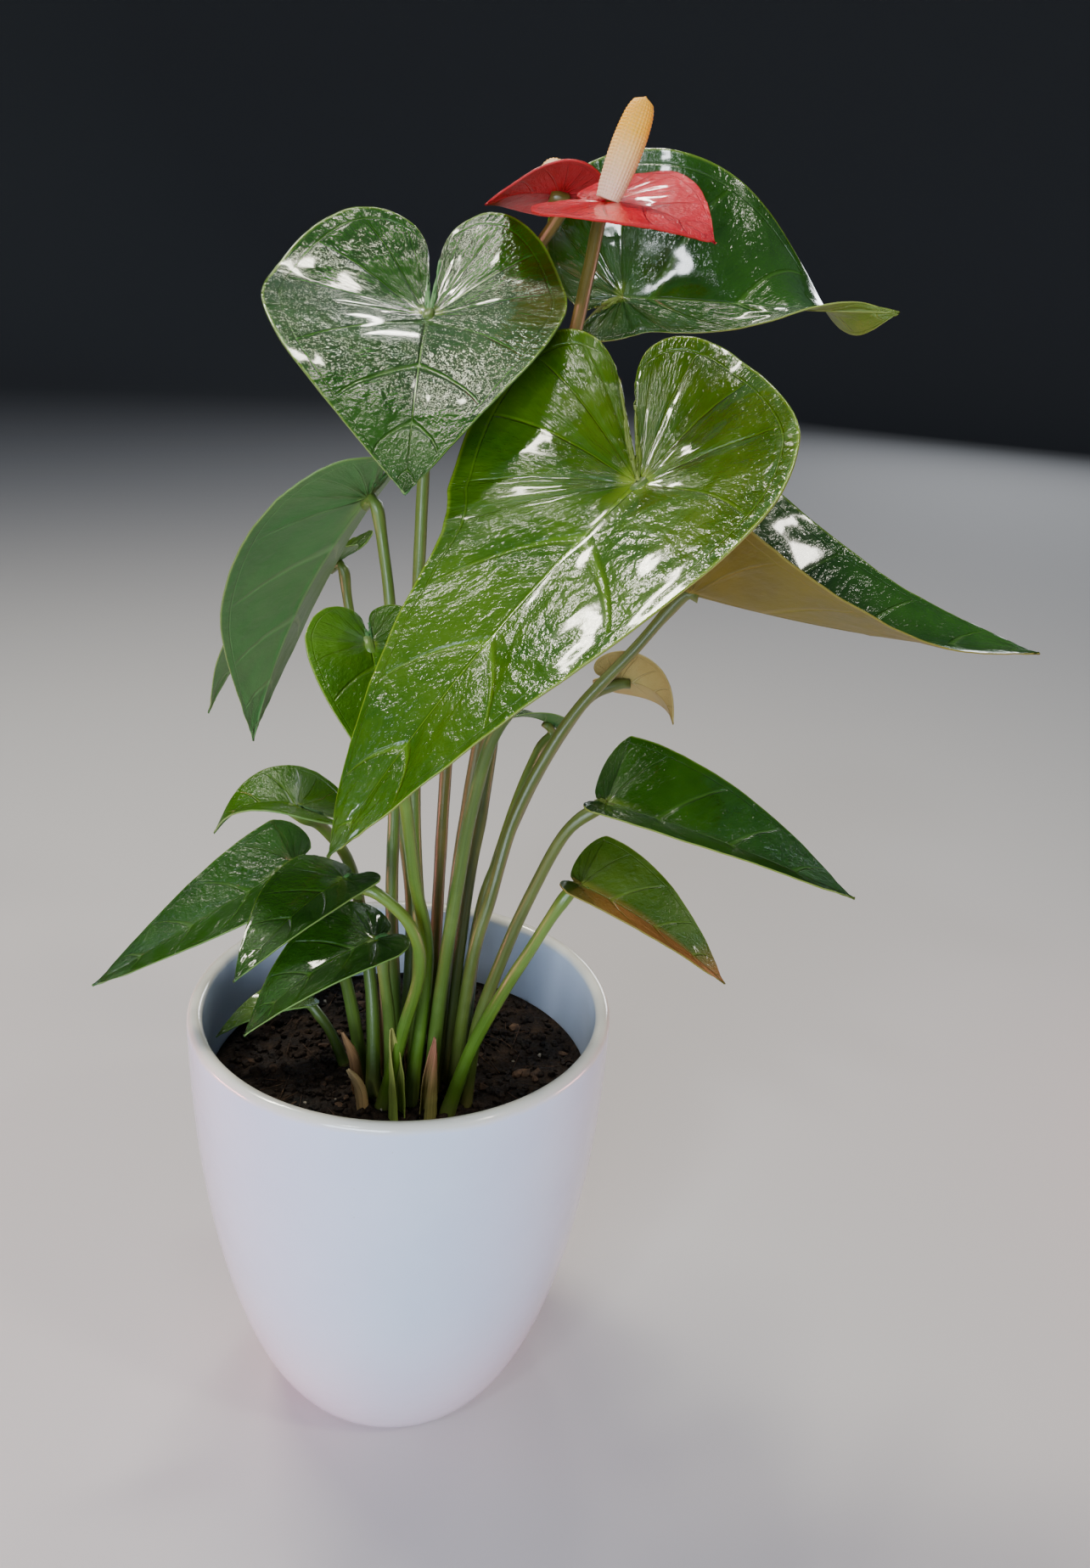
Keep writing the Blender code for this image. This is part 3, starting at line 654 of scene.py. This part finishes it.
# Each petiole: the points that it passes on its way from the soil up to its blade.
PETIOLES = {
    "front": ((9, -20, 0), (12, -20, 42), (16, -24, 83), (19, -30, 111), (24, -36, 136), (34, -42, 154),
              (46, -50, 183)),
    "tall_left": ((4, -12, 0), (5, -10, 52), (3, -4, 84), (2, 0, 114), (2, 4, 165), (3, 6, 209)),
    "tall_right": ((14, -7, 0), (20, 2, 65), (24, 6, 93), (27, 10, 121), (31, 17, 163), (38, 27, 213),
                   (49, 34, 238)),
    "rear_left": ((-1, -7, 0), (-4, -3, 60), (-4, 1, 97), (-5, 5, 124), (-6, 11, 155), (-9, 17, 177)),
    "hidden_left": ((1, 6, 0), (2, 32, 50), (-9, 58, 96), (-21, 76, 136)),
    "young_left": ((3, -20, 0), (7, -17, 40), (7, -20, 61), (3, -28, 85), (-1, -37, 118), (-6, -45, 141)),
    "wide_right": ((17, -14, 0), (22, -14, 50), (27, -12, 72), (33, -8, 96), (42, -6, 117), (52, -5, 134),
                   (67, -4, 152)),
    "low_right": ((21, -20, 0), (24, -22, 30), (31, -24, 58), (38, -26, 80), (47, -28, 102)),
    "lowest_right": ((15, -25, 0), (22, -27, 25), (31, -32, 50), (38, -36, 67), (45, -39, 83)),
    "curled_right": ((20, -6, 0), (24, 0, 54), (31, 4, 80), (42, 8, 107), (56, 12, 130)),
    "rear_small": ((16, 3, 0), (26, 12, 54), (36, 26, 86), (44, 36, 103)),
    "small_left": ((-9, -15, 0), (-10, -5, 30), (-14, 2, 58), (-18, -4, 80), (-25, -18, 98)),
    "low_left": ((-12, -7, 0), (-19, -4, 38), (-28, -1, 62)),
    "rim_bright": ((-6, -22, 0), (0, -26, 30), (5, -29, 55), (2, -32, 72), (-8, -32, 83)),
    "rim_dark": ((-3, -16, 0), (-4, -19, 30), (-6, -20, 48)),
    "pot_inner": ((-19, 2, 0), (-24, 5, 10), (-29, 7, 17)),
}


class Blade:
    """The curved surface of one leaf blade or spathe."""

    def __init__(self, joint, tip, width, lobe, roll=0, arch=0, fold=0.0, tip_fold=0.0, lift=0, turn=0,
                 twist=0, slim=0.0, left=1.0, right=1.0, left_lobe=1.0, quilt=1.0, seed=0.0):
        self.joint = placed(joint)
        chord = placed(tip) - self.joint
        self.length = chord.length
        self.along = chord.normalized()
        upright = (Vector((0, 0, 1)) - self.along * self.along.z).normalized()
        self.normal = Matrix.Rotation(math.radians(roll), 3, self.along) @ upright
        self.half = width * MM / 2
        self.lobe = lobe * MM
        self.bow = self.normal * arch * MM
        self.fold, self.tip_fold = fold, tip_fold
        self.lift = math.tan(math.radians(lift))
        self.turn, self.twist = math.radians(turn), math.radians(twist)
        self.slim, self.left, self.right = slim, left, right
        self.left_lobe = self.lobe * left_lobe
        self.quilt = quilt * min(self.length / (110 * MM), 1.0)
        self.seed = seed

    def flat(self, side, share, run):
        """Across and along of a point: side is -1 or 1, share 0 midrib to 1 margin, run 0 joint to 1 tip."""
        edge = smooth_at([Vector((*point, 0)) for point in BLADE_OUTLINE], run * (len(BLADE_OUTLINE) - 1))
        slimmer = 1.0 - self.slim * math.sin(math.pi * min(max(edge.y, 0.0), 1.0))
        across = max(edge.x, 0.0) * self.half * slimmer
        lobe = self.left_lobe if side > 0 else self.lobe
        along = edge.y * (lobe if edge.y < 0 else self.length)
        root = self.length if run > 0.999 else max(along - VEIN_SLANT * across, 0.0)
        across *= share * (self.left if side > 0 else self.right)
        return side * across, root + (along - root) * share

    def turned_base(self, across, along):
        """Swing the lobes about the joint, for a blade whose base leans to one side."""
        share = min(math.atan2(abs(across), along) / math.radians(120), 1.0)
        angle = self.turn * share ** 2 * (3 - 2 * share)
        return (across * math.cos(angle) + along * math.sin(angle),
                along * math.cos(angle) - across * math.sin(angle))

    def frame(self, along):
        """Point on the midrib, with its direction, face normal and sideways direction."""
        run = min(max(along / self.length, 0.0), 1.0)
        point = self.joint + self.along * self.length * run + 4 * run * (1 - run) * self.bow
        ahead = (self.along * self.length + 4 * (1 - 2 * run) * self.bow).normalized()
        point += ahead * min(along, 0.0)
        normal = (self.normal - ahead * ahead.dot(self.normal)).normalized()
        normal = Matrix.Rotation(self.twist * run ** 3, 3, ahead) @ normal
        return point, ahead, normal, ahead.cross(normal)

    def relief(self, side, share, run):
        """Height of the quilting between veins, the fine puckers and the slow waves of the margin."""
        vein = abs(((run - 0.03 * share ** 2) * LATERAL_VEINS + 0.5) % 1.0 - 0.5) * 2
        held = math.sin(math.pi * min(share, 1.0) ** 0.8) * min(run / 0.12, 1.0) * min((1 - run) / 0.12, 1.0)
        quilting = 0.55 * MM * (1 - (1 - vein) ** 3) * held
        streak = noise.noise(Vector((side * share * 5, run * 34, self.seed)))
        blister = noise.noise(Vector((side * share * 14, run * 70, self.seed + 9)))
        wave = noise.noise(Vector((side * (1 + share), run * 7, self.seed + 3)))
        fine = (0.32 * streak + 0.13 * blister) * MM * min(share * 6, 1.0)
        return self.quilt * (quilting + fine + 1.3 * MM * wave * share ** 2 * min(run / 0.2, 1.0))

    def surface(self, side, share, run):
        """Point of the blade's upper face."""
        across, along = self.turned_base(*self.flat(side, share, run))
        point, _, normal, sideways = self.frame(along)
        fold = self.fold + self.tip_fold * min(max(along / self.length, 0.0), 1.0)
        reach = across / self.half
        height = self.half * fold * (math.sqrt(reach ** 2 + 0.01) - 0.1)
        behind = max(-along, 0.0)
        height += self.lift * behind ** 2 / (behind + 12 * MM) + self.relief(side, share, run)
        return point + normal * height + sideways * across * (1 - 0.35 * fold ** 2)


def blade_mesh(name, shape, columns, rows, upper, under, midrib=MIDRIB_DEPTH, wall=BLADE_WALL):
    """A blade as a grid laid on its surface, given its thickness and a midrib that stands out below."""
    bm = bmesh.new()
    layer = bm.loops.layers.uv.new("blade")
    thickness = bm.verts.layers.deform.new()
    bmesh.ops.create_grid(bm, x_segments=2 * columns, y_segments=rows, size=1.0)
    for face in bm.faces:
        for loop in face.loops:
            place = abs(loop.vert.co.x)
            share = place - 0.12 * math.sin(2 * math.pi * place)
            loop[layer].uv = (0.5 + 0.5 * math.copysign(share, loop.vert.co.x), (loop.vert.co.y + 1) / 2)
    for corner in bm.verts:
        side = 1 if corner.co.x > 0 else -1
        place, run = abs(corner.co.x), (corner.co.y + 1) / 2
        share = place - 0.12 * math.sin(2 * math.pi * place)
        rib = max(1.0 - share * 26, 0.0) * (1.0 - 0.75 * max(run - 0.5, 0.0) * 2)
        vein = abs(((run - 0.03 * share ** 2) * LATERAL_VEINS + 0.5) % 1.0 - 0.5) * 2
        lateral = 0.30 * max(1.0 - vein * 5, 0.0) * max(1.0 - share * 1.2, 0.0)
        corner[thickness][0] = min(wall / midrib + (1 - wall / midrib) * max(rib, lateral), 1.0)
        corner.co = shape.surface(side, share, run)
    bmesh.ops.remove_doubles(bm, verts=bm.verts, dist=0.02 * MM)
    blade = finished_mesh(name, bm, upper, under)
    blade.vertex_groups.new(name="thickness")
    shell = blade.modifiers.new("wall", "SOLIDIFY")
    shell.thickness = midrib
    shell.offset = -1.0
    shell.vertex_group = "thickness"
    shell.material_offset = 1
    shell.material_offset_rim = 1
    return blade


def leaf_pattern_group():
    """Masks and height of a leaf's veins, from its UV: U runs margin to margin, V from joint to tip."""
    tree = bpy.data.node_groups.new("leaf pattern", "ShaderNodeTree")
    face = tree.interface
    for name in ("UV", "Object"):
        face.new_socket(name, in_out="INPUT", socket_type="NodeSocketVector")
    for name, value in (("Veins", LATERAL_VEINS), ("Vein Width", 0.0042)):
        face.new_socket(name, in_out="INPUT", socket_type="NodeSocketFloat").default_value = value
    for name in ("Vein", "Midrib", "Joint", "Margin", "Streak", "Mottle", "Height"):
        face.new_socket(name, in_out="OUTPUT", socket_type="NodeSocketFloat")
    given, out = tree.nodes.new("NodeGroupInput").outputs, tree.nodes.new("NodeGroupOutput").inputs
    uv = add_node(tree, "SeparateXYZ", {"Vector": given["UV"]})
    signed = maths(tree, "SUBTRACT", times(tree, uv.outputs["X"], 2.0), 1.0)
    share = maths(tree, "ABSOLUTE", signed)
    run = uv.outputs["Y"]
    bent = maths(tree, "SUBTRACT", run, times(tree, maths(tree, "POWER", share, 2.0), 0.03))
    phase = maths(tree, "FRACT", maths(tree, "ADD", times(tree, bent, given["Veins"]), 0.5))
    away = maths(tree, "DIVIDE", maths(tree, "ABSOLUTE", maths(tree, "SUBTRACT", phase, 0.5)), given["Veins"])
    wide = times(tree, away, maths(tree, "ADD", share, 0.55))
    vein = between(tree, wide, times(tree, given["Vein Width"], 0.15), given["Vein Width"], 1.0, 0.0)
    vein = times(tree, vein, between(tree, share, 0.70, 0.98, 1.0, 0.0))
    off_collective = maths(tree, "ABSOLUTE", maths(tree, "SUBTRACT", share, 0.90))
    collective = between(tree, off_collective, 0.003, 0.012, 0.5, 0.0)
    midrib = times(tree, between(tree, share, 0.006, 0.026, 1.0, 0.0), between(tree, run, 0.50, 0.56))
    joint = times(tree, between(tree, share, 0.03, 0.15, 1.0, 0.0), between(tree, run, 0.66, 0.56))
    margin = between(tree, share, 0.975, 0.995)
    drawn_out = add_node(tree, "CombineXYZ", {"X": times(tree, signed, 9.0),
                                              "Y": times(tree, run, 110.0)}).outputs[0]
    streak = noise_of(tree, drawn_out, 1.0, 3.0, 0.6)
    mottle = noise_of(tree, given["Object"], 45.0, 3.0, 0.6)
    pucker = noise_of(tree, given["Object"], 75.0, 2.0, 0.45, 0.8)
    vein_all = maths(tree, "MAXIMUM", vein, collective)
    height = maths(tree, "ADD", times(tree, streak, 0.5), times(tree, pucker, 1.0))
    height = maths(tree, "SUBTRACT", height, times(tree, maths(tree, "MAXIMUM", vein_all, midrib), 0.5))
    for name, value in (("Vein", vein_all), ("Midrib", midrib), ("Joint", joint), ("Margin", margin),
                        ("Streak", streak), ("Mottle", mottle), ("Height", height)):
        tree.links.new(value, out[name])
    return tree


leaf_pattern = leaf_pattern_group()


def leaf_face(name, deep, bright, vein, margin, roughness, coat, relief, vein_strength=0.5,
              joint_strength=0.9, sheen_spread=0.14, blush=None):
    """One face of a leaf: mottled between two tones, with its veins, joint spot and thin margin line."""
    skin, tree, shader = principled(name, Roughness=roughness, Coat_Weight=coat, Coat_Roughness=0.07)
    shader.inputs["Specular IOR Level"].default_value = 0.35
    uv = uv_of(tree, "blade")
    coords = object_place(tree)
    marks = add_node(tree, "Group", {}, node_tree=leaf_pattern)
    tree.links.new(uv, marks.inputs["UV"])
    tree.links.new(coords, marks.inputs["Object"])
    marks = marks.outputs
    colour = mixed(tree, between(tree, marks["Mottle"], 0.30, 0.70), deep, bright)
    colour = mixed(tree, between(tree, marks["Streak"], 0.35, 0.75, 0.0, 0.35), colour, bright)
    if blush:
        place = add_node(tree, "SeparateXYZ", {"Vector": uv}).outputs
        near_half = times(tree, between(tree, place["X"], 0.40, 0.60), between(tree, place["Y"], 0.46, 0.72))
        turned_tan = maths(tree, "MAXIMUM", near_half, between(tree, place["Y"], 0.80, 0.95))
        colour = mixed(tree, turned_tan, colour, blush)
    colour = mixed(tree, times(tree, marks["Vein"], vein_strength), colour, vein)
    colour = mixed(tree, times(tree, marks["Midrib"], min(vein_strength * 1.6, 1.0)), colour, vein)
    colour = mixed(tree, times(tree, marks["Joint"], joint_strength), colour, margin)
    colour = mixed(tree, times(tree, marks["Margin"], 0.45), colour, margin)
    paint(tree, shader, colour)
    tree.links.new(between(tree, marks["Mottle"], 0.3, 0.75, roughness - sheen_spread / 2,
                           roughness + sheen_spread / 2), shader.inputs["Roughness"])
    bumped(tree, shader, marks["Height"], relief)
    return skin


LEAF_FACES = {
    "dark": leaf_face("leaf_dark_gloss", (0.007, 0.040, 0.001), (0.018, 0.076, 0.002), (0.06, 0.16, 0.010),
                      (0.20, 0.32, 0.03), 0.18, 0.60, 1.2 * MM, 0.35, sheen_spread=0.08),
    "green": leaf_face("leaf_green_gloss", (0.020, 0.075, 0.001), (0.055, 0.125, 0.002), (0.13, 0.26, 0.008),
                       (0.28, 0.42, 0.02), 0.18, 0.60, 1.2 * MM, 0.40, sheen_spread=0.08),
    "fresh": leaf_face("leaf_fresh_gloss", (0.028, 0.095, 0.001), (0.060, 0.16, 0.002), (0.13, 0.26, 0.01),
                       (0.28, 0.42, 0.02), 0.24, 0.20, 0.9 * MM, 0.35),
    "turning": leaf_face("leaf_turning", (0.028, 0.070, 0.004), (0.060, 0.110, 0.008), (0.13, 0.22, 0.02),
                         (0.28, 0.36, 0.04), 0.30, 0.10, 0.8 * MM, 0.35, blush=(0.36, 0.15, 0.045)),
    "pale": leaf_face("leaf_pale_back", (0.045, 0.155, 0.034), (0.070, 0.200, 0.052), (0.13, 0.28, 0.09),
                      (0.22, 0.32, 0.08), 0.48, 0.0, 0.5 * MM, 0.6),
    "tan": leaf_face("leaf_tan_back", (0.105, 0.088, 0.006), (0.150, 0.125, 0.010), (0.21, 0.18, 0.025),
                     (0.32, 0.28, 0.06), 0.48, 0.0, 0.5 * MM, 0.5),
    "straw": leaf_face("leaf_straw", (0.34, 0.25, 0.07), (0.44, 0.34, 0.11), (0.50, 0.40, 0.16),
                       (0.46, 0.38, 0.14), 0.48, 0.0, 0.5 * MM, 0.5),
    "olive": leaf_face("leaf_olive_back", (0.075, 0.120, 0.008), (0.115, 0.165, 0.014), (0.18, 0.23, 0.04),
                       (0.34, 0.40, 0.08), 0.46, 0.0, 0.5 * MM, 0.5),
}

# What each blade shows above and below, and how finely its grid is cut.
BLADE_LOOKS = {
    "front": ("green", "olive", 30, 170), "tall_left": ("dark", "pale", 28, 150),
    "tall_right": ("dark", "olive", 24, 130), "rear_left": ("pale", "pale", 20, 120),
    "hidden_left": ("green", "pale", 14, 70), "young_left": ("fresh", "pale", 16, 80),
    "wide_right": ("dark", "tan", 26, 140), "low_right": ("dark", "olive", 18, 90),
    "lowest_right": ("turning", "tan", 16, 80), "curled_right": ("straw", "straw", 12, 60),
    "rear_small": ("green", "pale", 10, 50), "small_left": ("fresh", "pale", 14, 70),
    "low_left": ("dark", "pale", 16, 90), "rim_bright": ("dark", "pale", 16, 80),
    "rim_dark": ("dark", "pale", 18, 90), "pot_inner": ("green", "pale", 10, 50),
}


def petiole_finish(name, low, high, flush):
    """Skin of a stalk: fine long streaks, paler upwards, with a flush of colour near the soil."""
    skin, tree, shader = principled(name, Roughness=0.38, Coat_Weight=0.20, Coat_Roughness=0.2)
    uv = uv_of(tree, "along")
    coords = object_place(tree)
    run = add_node(tree, "SeparateXYZ", {"Vector": uv}).outputs["Y"]
    streaks = noise_of(tree, stretched(tree, uv, (14.0, 3.0, 1.0)), 1.0)
    cloud = noise_of(tree, coords, 60.0)
    colour = mixed(tree, between(tree, run, 0.0, 0.9), low, high)
    darker = tuple(part * 0.62 for part in low)
    colour = mixed(tree, between(tree, streaks, 0.42, 0.72, 0.0, 0.65), colour, darker)
    lighter = tuple(min(part * 1.35, 1.0) for part in high)
    colour = mixed(tree, between(tree, cloud, 0.50, 0.75, 0.0, 0.5), colour, lighter)
    flushed = times(tree, between(tree, run, 0.12, 0.0), 0.8)
    colour = mixed(tree, flushed, colour, flush)
    paint(tree, shader, colour)
    tree.links.new(between(tree, cloud, 0.3, 0.7, 0.32, 0.48), shader.inputs["Roughness"])
    bumped(tree, shader, maths(tree, "ADD", streaks, times(tree, noise_of(tree, coords, 900.0), 0.4)),
           0.25 * MM)
    return skin


PETIOLE_SKINS = {
    "green": petiole_finish("petiole_green", (0.072, 0.13, 0.016), (0.10, 0.165, 0.026), (0.15, 0.16, 0.04)),
    "olive": petiole_finish("petiole_olive", (0.08, 0.115, 0.016), (0.115, 0.145, 0.028),
                            (0.15, 0.13, 0.038)),
    "fresh": petiole_finish("petiole_fresh", (0.085, 0.175, 0.014), (0.12, 0.21, 0.026), (0.15, 0.17, 0.04)),
}
PETIOLE_LOOKS = {"wide_right": "olive", "tall_right": "olive", "low_right": "olive", "curled_right": "olive",
                 "young_left": "fresh", "rim_bright": "fresh", "lowest_right": "fresh"}


def stalk_piece(name, knots, foot_radius, top_radius, finish, swelling=0.22):
    """A round tapering stalk, flared where it sheathes the crown and swollen just under its blade."""
    stations = course(knots, STALK_STEP)
    length = len(stations) * STALK_STEP
    seed = sum(map(ord, name)) * 0.01

    def stalk_surface(turn, run):
        """Radius with the flare, the swelling near the top and a slight waver along the stalk."""
        radius = foot_radius + (top_radius - foot_radius) * run
        flare = 0.22 * math.exp(-run * length / (10 * MM))
        knuckle = swelling * math.exp(-(((1 - run) * length - 9 * MM) / (5 * MM)) ** 2)
        angle = turn * 2 * math.pi
        waver = 0.05 * noise.noise(Vector((math.cos(angle), math.sin(angle), run * length * 90 + seed)))
        return radius * (1 + flare + knuckle + waver), angle

    bm = wrapped(stations, 16, stalk_surface)
    stalk = finished_mesh(name, bm, finish)
    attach(stalk, "root")
    return stalk


def stalk_knots(table, shape, radius):
    """A stalk's route out of the soil and up to the joint, where it runs into the blade's midrib."""
    knots = [placed(point) for point in table]
    knots[0].z = SOIL_TOP - 2.0 * MM
    _, ahead, normal, _ = shape.frame(0.0)
    knots.append(shape.joint - normal * (radius + CAD_BLADE_THICKNESS / 2 + 2 * CLEARANCE) - ahead * radius)
    knots.append(shape.joint - normal * radius * 0.9 + ahead * 3.0 * MM)
    return knots


pot_inner_reach = pot_radius(SOIL_TOP + BLADES["pot_inner"]["tip"][2] * MM) - POT_WALL - 3 * MM
BLADES["pot_inner"]["tip"] = (-pot_inner_reach / MM, *BLADES["pot_inner"]["tip"][1:])
for number, (place, table) in enumerate(BLADES.items()):
    shape = Blade(**table, seed=number * 13.7)
    upper, under, columns, rows = BLADE_LOOKS[place]
    blade = blade_mesh(f"leaf_{place}", shape, columns, rows, LEAF_FACES[upper], LEAF_FACES[under],
                       MIDRIB_DEPTH * min(max(shape.length / (110 * MM), 0.55), 1.0))
    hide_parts(f"blade_{place}")
    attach(blade, "root")
    skin = PETIOLE_SKINS[PETIOLE_LOOKS.get(place, "green")]
    slimness = 0.8 if place in ("pot_inner", "rear_small") else 1.0
    petiole = stalk_piece(f"stalk_{place}", stalk_knots(PETIOLES[place], shape, PETIOLE_TOP_RADIUS),
                          PETIOLE_FOOT_RADIUS * slimness, PETIOLE_TOP_RADIUS * slimness, skin)
    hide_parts(f"petiole_{place}")


# ---------------------------------------------------------------------------------------------
# The flowers: a waxy red spathe, puckered like a leaf, held by a long peduncle, with the spadix of
# tight little florets standing on it, cream at its foot and yellow towards its tip.

SPADIX_LENGTH = 21 * MM
SPADIX_RADIUS = 4.1 * MM
SPADIX_OUTLINE = ((0.0, 0.70), (0.12, 0.82), (0.35, 0.94), (0.6, 0.96), (0.82, 0.84), (0.94, 0.6), (1.0, 0.0))
FLORET_ROWS = 15
FLORET_SPIRALS = 13
FLORET_HEIGHT = 0.22 * MM
PEDUNCLE_RADIUS = 1.75 * MM
SPATHES = {
    "front": dict(joint=(46, -26, 273), tip=(70, -45, 265), width=50, lobe=13, roll=16, arch=2, fold=0.10),
    "rear": dict(joint=(39, 22, 276), tip=(18, 14, 272), width=34, lobe=10, roll=22, arch=2, fold=0.10),
}
SPADIX_LEANS = {"front": (8, 2, 24), "rear": (2, 22, 2)}
PEDUNCLES = {
    "front": ((11, -14, 0), (14, -11, 50), (17, -8, 86), (22, -5, 126), (31, -4, 192), (41, -7, 234),
              (44, -16, 257)),
    "rear": ((10, 6, 0), (11, 8, 60), (13, 14, 121), (17, 24, 177), (23, 36, 225), (31, 38, 254)),
}

SPATHE_FACES = {
    "red": leaf_face("spathe_red_wax", (0.60, 0.0, 0.010), (0.76, 0.0, 0.020), (0.50, 0.0, 0.008),
                     (0.62, 0.01, 0.01), 0.26, 0.55, 1.0 * MM, 0.3, 0.3, 0.08),
    "back": leaf_face("spathe_red_back", (0.36, 0.004, 0.010), (0.50, 0.008, 0.016), (0.52, 0.03, 0.03),
                      (0.50, 0.02, 0.02), 0.42, 0.0, 0.6 * MM, 0.4, 0.3),
}

spadix_skin, tree, shader = principled("spadix_cream", Roughness=0.52, Subsurface_Weight=0.06)
uv = uv_of(tree, "along")
parts = add_node(tree, "SeparateXYZ", {"Vector": uv})
coords = object_place(tree)
freckle = noise_of(tree, coords, 260.0)
rise = maths(tree, "ADD", parts.outputs["Y"], times(tree, maths(tree, "SUBTRACT", freckle, 0.5), 0.14))
spike_colour = ramp_of(tree, rise, ((0.10, (0.95, 0.60, 0.42)), (0.42, (0.96, 0.55, 0.20)),
                                    (0.66, (0.96, 0.45, 0.015)), (0.90, (0.94, 0.40, 0.01))))
turned_u = times(tree, parts.outputs["X"], FLORET_SPIRALS * 2 * math.pi)
risen_v = times(tree, parts.outputs["Y"], FLORET_ROWS * 2 * math.pi)
floret = times(tree, maths(tree, "COSINE", maths(tree, "ADD", turned_u, risen_v)),
               maths(tree, "COSINE", maths(tree, "SUBTRACT", turned_u, risen_v)))
# Painted shade: the spike is mixed towards a dark brown in the pits between the florets.
spike_colour = mixed(tree, between(tree, floret, 0.2, -0.6, 0.0, 0.35), spike_colour, (0.62, 0.40, 0.14))
paint(tree, shader, spike_colour)
bumped(tree, shader, freckle, 0.15 * MM)


def spadix_surface(turn, run):
    """Blunt tapering spike covered in a diamond pattern of florets."""
    outline = [Vector(point).to_3d() for point in SPADIX_OUTLINE]
    position = next(index for index in range(6) if run <= outline[index + 1].x + 1e-6)
    part = (run - outline[position].x) / (outline[position + 1].x - outline[position].x)
    radius = smooth_at(outline, position + min(part, 1.0)).y
    first = math.cos((turn * FLORET_SPIRALS + run * FLORET_ROWS) * 2 * math.pi)
    second = math.cos((turn * FLORET_SPIRALS - run * FLORET_ROWS) * 2 * math.pi)
    floret_rise = FLORET_HEIGHT * first * second * min((1 - run) * 8, 1.0)
    return max(radius * SPADIX_RADIUS + floret_rise, 0.02 * MM), turn * 2 * math.pi


for place, table in SPATHES.items():
    shape = Blade(**table, quilt=1.6, seed=40.0 + len(place))
    faces = ("red", "back") if place == "front" else ("back", "back")
    spathe = blade_mesh(f"flower_spathe_{place}", shape, 22, 110, *(SPATHE_FACES[face] for face in faces),
                        midrib=1.0 * MM, wall=0.6 * MM)
    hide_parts(f"spathe_{place}")
    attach(spathe, "root")

    _, ahead, normal, _ = shape.frame(0.0)
    lean = Vector(SPADIX_LEANS[place]).normalized()
    slope = math.sin(lean.angle(normal)) * SPADIX_RADIUS
    foot = shape.joint + ahead * 2 * MM + normal * (CAD_BLADE_THICKNESS / 2 + slope + 3 * CLEARANCE)
    knots = [foot - lean * 3.5 * MM, foot + lean * SPADIX_LENGTH * 0.5, foot + lean * SPADIX_LENGTH]
    spadix = finished_mesh(f"flower_spadix_{place}", wrapped(course(knots, 0.24 * MM), 104, spadix_surface),
                           spadix_skin)
    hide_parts(f"spadix_{place}")
    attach(spadix, "root")

    peduncle_skin = petiole_finish(f"peduncle_{place}_skin", (0.085, 0.10, 0.016), (0.125, 0.085, 0.014),
                                   (0.13, 0.11, 0.030))
    peduncle = stalk_piece(f"flower_stalk_{place}", stalk_knots(PEDUNCLES[place], shape, PEDUNCLE_RADIUS),
                           PEDUNCLE_RADIUS * 1.2, PEDUNCLE_RADIUS, peduncle_skin, swelling=0.0)
    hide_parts(f"peduncle_{place}")
